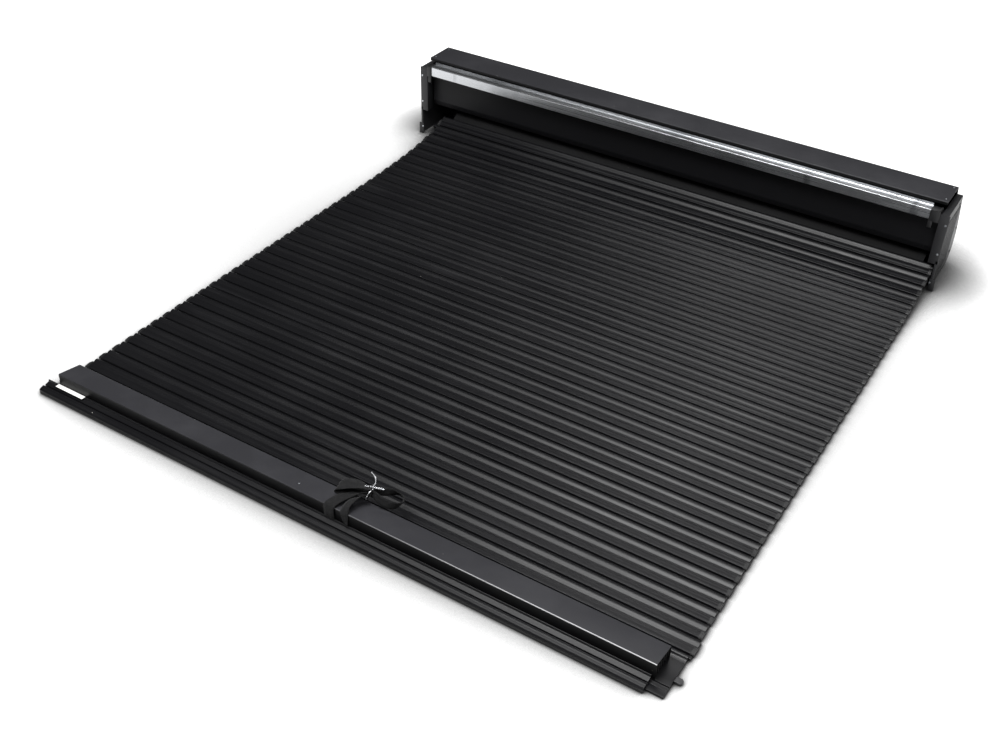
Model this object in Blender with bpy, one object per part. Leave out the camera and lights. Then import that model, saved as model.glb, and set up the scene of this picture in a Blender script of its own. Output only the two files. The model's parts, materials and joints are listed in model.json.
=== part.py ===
"""Retractable roll-up tonneau cover, laid out flat with its slat curtain drawn out of the canister.

The curtain lies with its ribbed underside up, the canister stands at +Y and the leading bar is at -Y.
Sections are drawn in metres as (y, z), with y measured from the front edge of the leading bar, and
extruded along X. Origin: centre of the footprint, on the floor.
"""
import math

import bmesh
import bpy
from mathutils import Matrix, Vector

# ---- driving dimensions, metres ----
LENGTH = 1.7655            # front edge of the bar to the back of the canister
GAP = 0.0003               # left between solids that touch

# curtain
STANDARD_PITCH = 0.0416    # knuckle to knuckle
FIRST_PITCH = 0.0425       # the slat next to the bar
SLAT_LEFT, SLAT_RIGHT = -0.745, 0.801
FIRST_SLAT_RIGHT = 0.8055
KNUCKLE_Z = 0.005          # knuckle axis over the floor, for a slat that lies flat
BAR_KNUCKLE_Y = 0.1130     # axis between the bar and the first slat
SLAT_COUNT = 36
CLIMB_DEG = {27: 1.0, 28: 1.5, 29: 2.0, 30: 2.5, 31: 3.5, 32: 5.0, 33: 7.5, 34: 10.5, 35: 15.5,
             36: 22.0}
BALL_R, SOCKET_R, NECK_HALF = 0.0022, 0.00265, 0.00075
BEAD_R = 0.006

# leading bar
PLATE_LEFT, PLATE_RIGHT = -0.745, 0.8007
BEAM_LEFT, BEAM_RIGHT = -0.728, 0.772
BEAM_FRONT, BEAM_REAR = 0.033, 0.0945
BEAM_FRONT_TOP, BEAM_REAR_TOP, BEAM_BOTTOM = 0.050, 0.039, 0.0093
BEAM_WALL = 0.002
RAIL_HALF = 0.765
PLATE_LEDGE_Y, PLATE_THIN, PLATE_STEP, PLATE_THICK = 0.0095, 0.005, 0.006, 0.009
SEAL_Y, SEAL_Z, SEAL_R, SEAL_BORE, SEAL_STRETCH = 0.00403, 0.0032, 0.0031, 0.0020, 1.3

# latch
CAM_X, CAM_Y = 0.062, 0.057
POCKET_HALF, SLOT_HALF = 0.0375, 0.036
CAM_PIN_R, CAM_PIN_AT = 0.002, 0.013
BOLT_HALF_WIDTH = 0.0065
CHANNEL_HALF_WIDTH = 0.007
BOLT_Z = (0.0022, 0.0070)
BOLT_RIGHT_TIP, BOLT_LEFT_TIP = 0.816, -0.760

# canister
FRONT_Y = 1.576            # front plane of the end plates and trim
WALL_Y = 1.606             # recessed front wall
TOP_Z, PLATE_TOP_Z = 0.245, 0.222
MOUTH_Z = 0.080            # the curtain passes under this height
SHELL_HALF = 0.7935
SHEET = 0.002
PLATE_OUTER_X, PLATE_SKIN = 0.809, 0.003
FLANGE_IN_X, FLANGE_OUT_X = 0.7875, 0.8125
FOOT_OUT_X = 0.8197
DRUM_Y, DRUM_Z, DRUM_R = 1.678, 0.125, 0.030


# ---- scene and materials ----
for existing in list(bpy.data.objects):
    bpy.data.objects.remove(existing, do_unlink=True)


def finish(name, colour, roughness, metallic):
    material = bpy.data.materials.new(name)
    material.use_nodes = True
    shader = material.node_tree.nodes["Principled BSDF"]
    shader.inputs["Base Color"].default_value = (*colour, 1.0)
    shader.inputs["Roughness"].default_value = roughness
    shader.inputs["Metallic"].default_value = metallic
    return material


BLACK_SLAT = finish("black_anodised_slat", (0.012, 0.012, 0.014), 0.35, 0.3)
BLACK_PAINT = finish("black_powder_coat", (0.03, 0.03, 0.032), 0.5, 0.0)
BLACK_PLASTIC = finish("black_moulded_nylon", (0.01, 0.01, 0.011), 0.55, 0.0)
BARE_ALUMINIUM = finish("bare_aluminium", (0.75, 0.76, 0.78), 0.3, 1.0)
STEEL = finish("zinc_plated_steel", (0.5, 0.5, 0.52), 0.35, 1.0)
RUBBER = finish("black_rubber", (0.015, 0.015, 0.015), 0.7, 0.0)
WEBBING = finish("black_webbing", (0.014, 0.014, 0.016), 0.9, 0.0)


# ---- section and mesh helpers ----
def arc(y, z, radius, start_deg, end_deg, count):
    """Points on an arc, both ends included."""
    step = math.radians(end_deg - start_deg) / (count - 1)
    angles = [math.radians(start_deg) + step * i for i in range(count)]
    return [(y + radius * math.cos(a), z + radius * math.sin(a)) for a in angles]


def sheet(path, thickness):
    """A closed outline for bent sheet: the path, and back along its offset to the left."""
    points = [Vector(p) for p in path]
    normals = []
    for a, b in zip(points, points[1:]):
        along = (b - a).normalized()
        normals.append(Vector((-along.y, along.x)))
    back = []
    for i, point in enumerate(points):
        before, after = normals[max(i - 1, 0)], normals[min(i, len(normals) - 1)]
        mitre = (before + after).normalized()
        back.append(point + mitre * (thickness / mitre.dot(after)))
    return [tuple(p) for p in points] + [tuple(p) for p in reversed(back)]


def world_y(y):
    return y - LENGTH / 2


def new_object(name, mesh, material):
    item = bpy.data.objects.new(name, mesh)
    bpy.context.collection.objects.link(item)
    if material and not mesh.materials:
        mesh.materials.append(material)
    return item


def section_mesh(name, outline, x0, x1, hole=None):
    """Extrude a (y, z) outline, with an optional hole, from x0 to x1."""
    bm = bmesh.new()
    rings = [[bm.verts.new((x0, y, z)) for y, z in loop] for loop in (outline, hole) if loop]
    if hole:
        edges = [bm.edges.new((ring[i - 1], ring[i])) for ring in rings for i in range(len(ring))]
        bmesh.ops.triangle_fill(bm, edges=edges, use_beauty=True)
    else:
        bm.faces.new(rings[0])
    grown = bmesh.ops.extrude_face_region(bm, geom=bm.faces[:])
    moved = [v for v in grown["geom"] if isinstance(v, bmesh.types.BMVert)]
    bmesh.ops.translate(bm, verts=moved, vec=(x1 - x0, 0, 0))
    bmesh.ops.recalc_face_normals(bm, faces=bm.faces[:])
    mesh = bpy.data.meshes.new(name)
    bm.to_mesh(mesh)
    bm.free()
    return mesh


def plan_mesh(name, outline, z0, z1):
    """Extrude an (x, y) outline from z0 to z1."""
    turned = section_mesh(name, outline, z0, z1)
    turned.transform(Matrix(((0, 1, 0, 0), (0, 0, 1, 0), (1, 0, 0, 0), (0, 0, 0, 1))))
    return turned


def box_mesh(x0, x1, y0, y1, z0, z1):
    return section_mesh("box", [(y0, z0), (y1, z0), (y1, z1), (y0, z1)], x0, x1)


def disc_mesh(x0, x1, radius, bore=0.0, sides=24):
    """A disc or ring about the X axis through the origin."""
    rim = arc(0, 0, radius, 0, 360 * (1 - 1 / sides), sides)
    hole = arc(0, 0, bore, 0, 360 * (1 - 1 / sides), sides) if bore else None
    return section_mesh("disc", rim, x0, x1, hole)


def post_mesh(radius, z0, z1, sides=16):
    """An upright round post at the origin."""
    return plan_mesh("post", arc(0, 0, radius, 0, 360 * (1 - 1 / sides), sides), z0, z1)


def combine(name, base, others, operation="UNION"):
    """Apply exact Booleans of plain meshes to a base mesh, one after another."""
    body = new_object(name + "_base", base, None)
    cutters = []
    for number, other in enumerate(others):
        cutter = new_object(f"{name}_tool_{number}", other, None)
        cutter.hide_render = True
        cutter.display_type = "WIRE"
        modifier = body.modifiers.new("cut", "BOOLEAN")
        modifier.operation = operation
        modifier.solver = "EXACT"
        modifier.object = cutter
        cutters.append(cutter)
    graph = bpy.context.evaluated_depsgraph_get()
    result = bpy.data.meshes.new_from_object(body.evaluated_get(graph))
    for item in [body, *cutters]:
        bpy.data.objects.remove(item, do_unlink=True)
    result.name = name
    return result


def moved(mesh, x=0.0, y=0.0, z=0.0):
    mesh.transform(Matrix.Translation((x, y, z)))
    return mesh


def place(name, mesh, material, at=(0.0, 0.0, 0.0), tilt_deg=0.0, smooth_deg=None):
    """Put a mesh, drawn about its own origin, at (x, y from the front edge, z)."""
    item = new_object(name, mesh, material)
    item.location = (at[0], world_y(at[1]), at[2])
    item.rotation_euler.x = math.radians(tilt_deg)
    if smooth_deg:
        mesh.shade_smooth()
        mesh.set_sharp_from_angle(angle=math.radians(smooth_deg))
    return item


def shifted(outline, y, z):
    return [(a - y, b - z) for a, b in outline]


# ---- curtain: extruded aluminium slats, each hooked into the knuckle of the next ----
def knuckle():
    """The socket end of a section whose socket centre is at (0, 0): lower arm to outer bead."""
    inner = arc(0, 0, SOCKET_R, 334, 46, 8)
    bead = arc(-0.002, 0.001, BEAD_R, 30, 150, 6)
    return [(0.004, -KNUCKLE_Z), (0.004, -0.0026), *inner, *bead]


def slat_section(pitch):
    """Section of a slat, from its ball at (-pitch, 0) to its socket at (0, 0)."""
    ball = arc(-pitch, 0, BALL_R, 20, 340, 7)
    crown = -pitch + 0.0205 + (pitch - STANDARD_PITCH) / 2
    groove = -0.0116
    top = [
        (groove, 0.0026), (crown + 0.005, 0.0040), (crown, 0.0050), (crown - 0.0055, 0.0042),
        (-pitch + 0.0115, 0.0032), (-pitch + 0.0092, 0.0040), (-pitch + 0.0070, 0.0041),
        (-pitch + 0.0055, 0.0034), (-pitch + 0.0047, 0.0018), (-pitch + 0.0045, NECK_HALF),
    ]
    bottom = [(-pitch + 0.0045, -NECK_HALF), (-pitch + 0.0058, -KNUCKLE_Z)]
    return ball + bottom + knuckle() + top


def build_curtain():
    standard = section_mesh("slat", slat_section(STANDARD_PITCH), SLAT_LEFT, SLAT_RIGHT)
    wide = section_mesh("first_slat", slat_section(FIRST_PITCH), SLAT_LEFT, FIRST_SLAT_RIGHT)
    y, z = BAR_KNUCKLE_Y, KNUCKLE_Z
    for number in range(1, SLAT_COUNT + 1):
        tilt = CLIMB_DEG.get(number, 0.0)
        pitch = FIRST_PITCH if number == 1 else STANDARD_PITCH
        y += pitch * math.cos(math.radians(tilt))
        z += pitch * math.sin(math.radians(tilt))
        mesh = wide if number == 1 else standard
        place(f"slat_{number:02d}", mesh, BLACK_SLAT, (0, y, z), tilt)
    return y, z


# ---- leading bar: base plate, box beam, front rail and seal ----
def build_bar():
    hinge = (0, BAR_KNUCKLE_Y, KNUCKLE_Z)
    outline = [(PLATE_LEDGE_Y, 0.0), *shifted(knuckle(), -BAR_KNUCKLE_Y, -KNUCKLE_Z),
               (BAR_KNUCKLE_Y - 0.0115, PLATE_STEP), (BEAM_REAR + 0.001, PLATE_STEP),
               (BEAM_REAR, PLATE_THICK), (BEAM_FRONT, PLATE_THICK),
               (BEAM_FRONT - GAP, PLATE_THIN), (PLATE_LEDGE_Y, PLATE_THIN)]
    y0, y1, z0, z1 = (CAM_Y - CHANNEL_HALF_WIDTH, CAM_Y + CHANNEL_HALF_WIDTH,
                      BOLT_Z[0] - 0.0004, BOLT_Z[1] + 0.0005)
    channel = [(y0, z0), (y1, z0), (y1, z1), (y0, z1)]
    plate = section_mesh("base_plate", outline, PLATE_LEFT, PLATE_RIGHT, channel)
    pocket = box_mesh(CAM_X - POCKET_HALF, CAM_X + POCKET_HALF, CAM_Y - 0.0205, CAM_Y + 0.021, z0, 0.02)
    plate = combine("base_plate", plate, [pocket], "DIFFERENCE")
    pivot = moved(post_mesh(0.003, 0.0012, 0.0145), CAM_X, CAM_Y)
    plate = combine("base_plate", plate, [pivot])
    place("base_plate", moved(plate, y=-hinge[1], z=-hinge[2]), BLACK_SLAT, hinge)

    path = [(BEAM_REAR, BEAM_BOTTOM), (BEAM_REAR, BEAM_REAR_TOP),
            (BEAM_FRONT, BEAM_FRONT_TOP), (BEAM_FRONT, BEAM_BOTTOM)]
    beam = section_mesh("box_beam", sheet(path, BEAM_WALL), BEAM_LEFT, BEAM_RIGHT)
    slot = box_mesh(CAM_X - SLOT_HALF, CAM_X + SLOT_HALF, BEAM_FRONT - 0.01, BEAM_FRONT + 0.01,
                    0.0215, 0.0251)
    beam = combine("box_beam", beam, [slot], "DIFFERENCE")
    place("box_beam", moved(beam, y=-hinge[1], z=-hinge[2]), BLACK_PAINT, hinge)

    rail = [(0.0092, 0.0053), (BEAM_FRONT - 0.0006, 0.0053), (BEAM_FRONT - 0.0006, 0.0205),
            (0.0305, 0.0205), (0.0190, 0.0140), (0.0180, 0.0100), (0.0155, 0.0100),
            (0.0145, 0.0150), (0.0040, 0.0130), (0.0008, 0.0095), (0.0008, 0.0068),
            (0.0092, 0.0068)]
    place("front_rail", section_mesh("front_rail", shifted(rail, *hinge[1:]),
                                     -RAIL_HALF, RAIL_HALF), BLACK_SLAT, hinge)
    rings = []
    for radius in (SEAL_R, SEAL_BORE):
        flattened = [(SEAL_Y + y * SEAL_STRETCH, SEAL_Z + z) for y, z in arc(0, 0, radius, 0, 330, 12)]
        rings.append(shifted(flattened, *hinge[1:]))
    place("bulb_seal", section_mesh("bulb_seal", rings[0], -RAIL_HALF, RAIL_HALF, rings[1]),
          RUBBER, hinge, smooth_deg=40)


# ---- latch: two flat bolts in the base plate, drawn in by a cam that the strap turns ----
def bolt_outline(tip):
    """Plan of the right bolt about the cam's pivot: a bar with a fork for the cam's pin."""
    w = BOLT_HALF_WIDTH
    heel = 0.0215
    return [(heel, -w), (tip - 0.004, -w), (tip, -w + 0.003), (tip, w - 0.003),
            (tip - 0.004, w), (0.034, w), (0.034, 0.0190), (-0.0065, 0.0190),
            (-0.0065, 0.0075), (-0.0031, 0.0075), (-0.0031, 0.0160), (0.0026, 0.0160),
            (0.0026, 0.0075), (heel, 0.0075)]


def build_latch():
    right = plan_mesh("latch_bolt_right", bolt_outline(BOLT_RIGHT_TIP - CAM_X), *BOLT_Z)
    left = plan_mesh("latch_bolt_left", bolt_outline(CAM_X - BOLT_LEFT_TIP), *BOLT_Z)
    left.transform(Matrix.Rotation(math.pi, 4, "Z"))
    place("latch_bolt_right", right, STEEL, (CAM_X, CAM_Y, 0))
    place("latch_bolt_left", left, STEEL, (CAM_X, CAM_Y, 0))

    lever = [(-0.006, -0.0160), (-0.0045, -0.0195), (0.0045, -0.0195), (0.006, -0.0160)]
    disc = arc(0, 0, 0.0170, -69, 249, 20) + lever
    cam = plan_mesh("latch_cam", disc, 0.0100, 0.0130)
    pins = [moved(post_mesh(CAM_PIN_R, 0.0030, 0.0110, 10), y=side * CAM_PIN_AT)
            for side in (1, -1)]
    cam = combine("latch_cam", cam, [post_mesh(0.0055, 0.0024, 0.0110), *pins])
    cam = combine("latch_cam", cam, [post_mesh(0.0034, 0.0, 0.02)], "DIFFERENCE")
    place("latch_cam", cam, STEEL, (CAM_X, CAM_Y, 0))


# ---- pull strap, folded up and held by a wire tie ----
def build_strap():
    bundle = [(0.028, 0.036), (0.093, 0.036), (0.094, 0.060), (0.098, 0.0785), (0.108, 0.0785),
              (0.128, 0.084), (0.160, 0.097), (0.164, 0.116), (0.155, 0.132), (0.135, 0.132),
              (0.108, 0.1095), (0.098, 0.1095), (0.080, 0.108), (0.050, 0.104), (0.030, 0.088)]
    strap = plan_mesh("pull_strap", bundle, 0.0515, 0.075)
    fronts = [section_mesh("front_drop", sheet([(0.0315, 0.0212), (0.0315, 0.0535),
                                                (0.042, 0.0535)], 0.005), a, b)
              for a, b in ((0.034, 0.060), (0.080, 0.092))]
    strap = combine("pull_strap", strap, fronts)
    place("pull_strap", strap, WEBBING)

    outer = [(0.0755, 0.0475), (0.1125, 0.0475), (0.1125, 0.079), (0.0755, 0.079)]
    inner = [(0.0772, 0.0492), (0.1108, 0.0492), (0.1108, 0.0773), (0.0772, 0.0773)]
    tie = section_mesh("strap_tie", outer, 0.1020, 0.1040, inner)
    tail = section_mesh("tail", [(0.094, 0.078), (0.096, 0.078), (0.109, 0.106), (0.107, 0.106)],
                        0.1022, 0.1038)
    place("strap_tie", combine("strap_tie", tie, [tail]), STEEL)


# ---- canister: bent shell, recessed front wall, trim channel and end plates ----
def build_canister():
    back = [(1.701, TOP_Z), (1.7585, 0.110), (1.7655, 0.085), *arc(1.7225, 0.045, 0.043, 8, -70, 5),
            (1.722, 0.0)]
    path = [(1.614, 0.012), (1.620, 0.0), *reversed(back), (1.603, TOP_Z), (1.603, 0.236)]
    shell = section_mesh("canister_shell", sheet(path, SHEET), -SHELL_HALF, SHELL_HALF)
    place("canister_shell", shell, BLACK_PAINT)

    wall = sheet([(1.622, 0.086), (1.613, 0.091), (WALL_Y + 0.0005, 0.108), (WALL_Y, 0.222)], -SHEET)
    place("front_wall", section_mesh("front_wall", wall, -0.785, 0.785), BLACK_PAINT)

    lip = sheet([(FRONT_Y, 0.200), (FRONT_Y, 0.227), (1.6005, 0.227), (1.6005, 0.234)], -0.0022)
    place("trim_channel", section_mesh("trim_channel", lip, -0.772, 0.761), BARE_ALUMINIUM)

    rim = [(FRONT_Y, 0.0035), (1.7225, 0.0035), *reversed(arc(1.7215, 0.046, 0.0405, 8, -70, 5)),
           (1.7625, 0.085), (1.7555, 0.110), (1.7080, PLATE_TOP_Z), (FRONT_Y, PLATE_TOP_Z)]
    for side, name in ((-1, "end_plate_left"), (1, "end_plate_right")):
        plate = end_plate(rim)
        if side < 0:
            plate.transform(Matrix.Scale(-1, 4, Vector((1, 0, 0))))
            plate.flip_normals()
        place(name, plate, BLACK_PLASTIC)

    block = [(FRONT_Y - 0.003, 0.190), (FRONT_Y + 0.0008, 0.190), (FRONT_Y + 0.0008, 0.2225),
             (1.5990, 0.2225), (1.5990, 0.2290), (FRONT_Y - 0.003, 0.2290)]
    for name, x0, x1 in (("corner_block_right", 0.7613, FLANGE_IN_X - GAP),
                         ("corner_block_left", GAP - FLANGE_IN_X, -0.7723)):
        place(name, section_mesh(name, block, x0, x1), BLACK_PLASTIC)


def end_plate(rim):
    """The right end plate: a pan with its rim turned in, a front flange and a foot."""
    inner_face, depth = PLATE_OUTER_X - PLATE_SKIN, PLATE_OUTER_X - 0.7915
    bm = bmesh.new()
    bm.faces.new([bm.verts.new((PLATE_OUTER_X, y, z)) for y, z in rim])
    grown = bmesh.ops.extrude_face_region(bm, geom=bm.faces[:])
    verts = [v for v in grown["geom"] if isinstance(v, bmesh.types.BMVert)]
    bmesh.ops.translate(bm, verts=verts, vec=(-depth, 0, 0))
    front = [f for f in bm.faces if all(abs(v.co.x - 0.7915) < 1e-6 for v in f.verts)]
    bmesh.ops.inset_individual(bm, faces=front, thickness=0.0025)
    bmesh.ops.translate(bm, verts=front[0].verts[:], vec=(inner_face - 0.7915, 0, 0))
    bmesh.ops.recalc_face_normals(bm, faces=bm.faces[:])
    pan = bpy.data.meshes.new("end_plate")
    bm.to_mesh(pan)
    bm.free()
    mouth = box_mesh(0.70, inner_face, FRONT_Y - 0.01, 1.630, -0.01, MOUTH_Z)
    pan = combine("end_plate", pan, [mouth], "DIFFERENCE")
    flange = box_mesh(FLANGE_IN_X, FLANGE_OUT_X, FRONT_Y - 0.0005, FRONT_Y + 0.002,
                      MOUTH_Z, PLATE_TOP_Z - 0.0005)
    leg = box_mesh(inner_face, FLANGE_OUT_X, FRONT_Y - 0.0005, FRONT_Y + 0.002,
                   0.020, MOUTH_Z + 0.01)
    foot = box_mesh(inner_face - 0.002, FOOT_OUT_X, FRONT_Y - 0.001, FRONT_Y + 0.0025, 0.0, 0.034)
    inner = box_mesh(FLANGE_IN_X, FLANGE_IN_X + 0.002, FRONT_Y + 0.001, WALL_Y - 0.0025,
                     MOUTH_Z, 0.2220)
    return combine("end_plate", pan, [flange, leg, foot, inner])


# ---- roller inside the canister ----
def build_roller(curtain_end):
    drum = (0, DRUM_Y, DRUM_Z)
    place("roller_tube", disc_mesh(-0.785, 0.785, DRUM_R, DRUM_R - 0.002), STEEL, drum,
          smooth_deg=30)
    plug = [disc_mesh(0.770, 0.7845, DRUM_R - 0.0024), disc_mesh(0.784, 0.790, 0.024),
            disc_mesh(0.789, 0.8045, 0.010, sides=16)]
    right = combine("roller_plug_right", plug[0], plug[1:])
    left = right.copy()
    left.transform(Matrix.Rotation(math.pi, 4, "Z"))
    left = combine("roller_plug_left", left, [disc_mesh(-0.82, -0.75, 0.0066, sides=16)],
                   "DIFFERENCE")
    place("roller_plug_right", right, BLACK_PLASTIC, drum, smooth_deg=30)
    place("roller_plug_left", left, BLACK_PLASTIC, drum, smooth_deg=30)
    bearing = combine("bearing", disc_mesh(0.7925, 0.8055, 0.015, 0.0105),
                      [disc_mesh(0.8025, 0.8055, 0.024, 0.0106)])
    mirrored = bearing.copy()
    mirrored.transform(Matrix.Rotation(math.pi, 4, "Z"))
    place("bearing_right", bearing, BLACK_PLASTIC, drum, smooth_deg=30)
    place("bearing_left", mirrored, BLACK_PLASTIC, drum, smooth_deg=30)
    place("spring_shaft", disc_mesh(-0.8055, -0.240, 0.006, sides=16), STEEL, drum, smooth_deg=30)
    place("torsion_spring", spring_mesh(-0.760, 0.50, 16, 0.0125, 0.0015), STEEL, drum,
          smooth_deg=60)

    # the leader band: a wrap round the tube and a tail down to the last slat's socket
    end = Vector((curtain_end[0] - DRUM_Y, curtain_end[1] - DRUM_Z))
    wrap_r = DRUM_R + 0.0004
    ring = disc_mesh(SLAT_LEFT + 0.03, SLAT_RIGHT - 0.03, wrap_r + 0.0014, wrap_r, 32)
    slope = math.atan2(-end.y, -end.x) - math.asin((wrap_r + 0.0008) / end.length)
    along = Vector((math.cos(slope), math.sin(slope)))
    reach = math.sqrt(end.length ** 2 - (wrap_r + 0.0008) ** 2)
    neck, tangent = end + along * 0.0012, end + along * reach
    tail = sheet([tuple(neck + Vector((along.y, -along.x)) * 0.0006),
                  tuple(tangent + Vector((along.y, -along.x)) * 0.0006)], 0.0012)
    tail = section_mesh("tail", tail, SLAT_LEFT + 0.03, SLAT_RIGHT - 0.03)
    bead = section_mesh("bead", arc(end.x, end.y, BALL_R, 0, 324, 10),
                        SLAT_LEFT + 0.03, SLAT_RIGHT - 0.03)
    place("leader_band", combine("leader_band", ring, [tail, bead]), WEBBING, drum)


def spring_mesh(x, length, turns, radius, wire_r):
    """A close helix about the X axis, as one closed tube."""
    per_turn, sides = 10, 5
    steps = turns * per_turn
    bm = bmesh.new()
    rings = []
    for step in range(steps + 1):
        angle = 2 * math.pi * step / per_turn
        out = Vector((0, math.cos(angle), math.sin(angle)))
        centre = out * radius + Vector((x + length * step / steps, 0, 0))
        ring = []
        for side in range(sides):
            turn = 2 * math.pi * side / sides
            offset = (out * math.cos(turn) + Vector((1, 0, 0)) * math.sin(turn)) * wire_r
            ring.append(bm.verts.new(centre + offset))
        rings.append(ring)
    for a, b in zip(rings, rings[1:]):
        for i in range(sides):
            bm.faces.new((a[i - 1], a[i], b[i], b[i - 1]))
    bm.faces.new(rings[0])
    bm.faces.new(rings[-1])
    bmesh.ops.recalc_face_normals(bm, faces=bm.faces[:])
    mesh = bpy.data.meshes.new("torsion_spring")
    bm.to_mesh(mesh)
    bm.free()
    return mesh


build_bar()
build_latch()
build_strap()
last_socket = build_curtain()
build_canister()
build_roller(last_socket)
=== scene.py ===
"""A roll-up truck bed cover laid out on a pale studio floor, its slat curtain drawn from the canister.

The cover lies with its ribbed underside up. Sections are drawn as (y, z), in metres, with y measured
from the front edge of the leading bar, and are extruded along X.
"""
import json
import math

import bmesh
import bpy
from mathutils import Matrix, Vector


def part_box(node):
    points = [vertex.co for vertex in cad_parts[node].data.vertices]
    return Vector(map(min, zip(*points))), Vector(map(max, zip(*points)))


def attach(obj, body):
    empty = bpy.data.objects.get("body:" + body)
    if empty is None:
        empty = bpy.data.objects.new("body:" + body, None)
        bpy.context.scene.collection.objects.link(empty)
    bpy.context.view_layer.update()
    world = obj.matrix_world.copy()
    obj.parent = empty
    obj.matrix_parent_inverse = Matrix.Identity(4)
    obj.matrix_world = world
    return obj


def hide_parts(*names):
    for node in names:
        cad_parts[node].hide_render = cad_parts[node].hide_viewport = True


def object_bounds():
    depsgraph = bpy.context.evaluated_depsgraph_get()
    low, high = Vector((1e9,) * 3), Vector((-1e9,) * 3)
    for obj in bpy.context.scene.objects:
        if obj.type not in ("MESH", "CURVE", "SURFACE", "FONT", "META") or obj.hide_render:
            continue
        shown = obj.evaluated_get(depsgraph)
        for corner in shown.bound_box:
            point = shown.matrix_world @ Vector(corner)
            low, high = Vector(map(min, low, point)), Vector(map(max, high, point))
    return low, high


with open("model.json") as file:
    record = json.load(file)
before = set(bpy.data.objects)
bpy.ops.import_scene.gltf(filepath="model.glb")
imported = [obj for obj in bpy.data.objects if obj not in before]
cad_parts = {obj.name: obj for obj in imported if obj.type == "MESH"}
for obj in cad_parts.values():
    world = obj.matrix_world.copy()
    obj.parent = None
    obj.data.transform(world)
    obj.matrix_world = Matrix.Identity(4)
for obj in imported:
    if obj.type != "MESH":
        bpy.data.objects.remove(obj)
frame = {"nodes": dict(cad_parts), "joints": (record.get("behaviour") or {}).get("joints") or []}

cad_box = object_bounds()
FRONT = cad_box[0].y

# ---- slats ----
# Each slat is an aluminium extrusion, black anodised, so it is dark with a satin metallic gloss and
# faint die lines along its length. Its ball hooks into the rolled bead of the slat before it.
SLAT_BLACK = "#101012"
RUBBED_BLACK = "#1B1B1D"
ANODISED_SPECULAR = 0.26
DUST = "#C9C6BE"
DIE_LINE = 0.0016          # spacing; real ones are finer and wouldn't show
DUST_SPACING = 0.045
SOCKET_FLOOR = 0.005       # the knuckle's axis over the underside of the slat
BEAD_R = 0.006
BALL_R = 0.0022
SOCKET_R = 0.00265
GROOVE_REAR = 0.0093       # behind the knuckle, where the next slat's top begins


def linear(hex_colour):
    """An sRGB hex value as the linear colour that a shader takes."""
    channels = [int(hex_colour[i:i + 2], 16) / 255 for i in (1, 3, 5)]
    return [c / 12.92 if c <= 0.04045 else ((c + 0.055) / 1.055) ** 2.4 for c in channels] + [1.0]


def add(tree, kind, inputs=None, **settings):
    """Add one node. An input is a value, the socket that feeds it, or a node whose first output does."""
    node = tree.nodes.new(kind)
    for name, value in settings.items():
        setattr(node, name, value)
    for name, value in (inputs or {}).items():
        if isinstance(value, bpy.types.Node):
            value = value.outputs[0]
        if isinstance(value, bpy.types.NodeSocket):
            tree.links.new(value, node.inputs[name])
        else:
            node.inputs[name].default_value = value
    return node


def new_material(name, **constants):
    """A Principled material with its constant sockets set, as (material, tree, shader)."""
    material = bpy.data.materials.new(name)
    material.use_nodes = True
    shader = material.node_tree.nodes["Principled BSDF"]
    for socket, value in constants.items():
        shader.inputs[socket.replace("_", " ")].default_value = value
    return material, material.node_tree, shader


def finish_surface(tree, shader, colour, roughness, height, depth, strength):
    """Feed a shader its colour from a mix node, its roughness, and a relief of a depth in metres."""
    tree.links.new(colour.outputs[2], shader.inputs["Base Color"])
    tree.links.new(roughness.outputs[0], shader.inputs["Roughness"])
    bump = add(tree, "ShaderNodeBump", {"Height": height, "Distance": depth, "Strength": strength})
    tree.links.new(bump.outputs[0], shader.inputs["Normal"])


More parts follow.
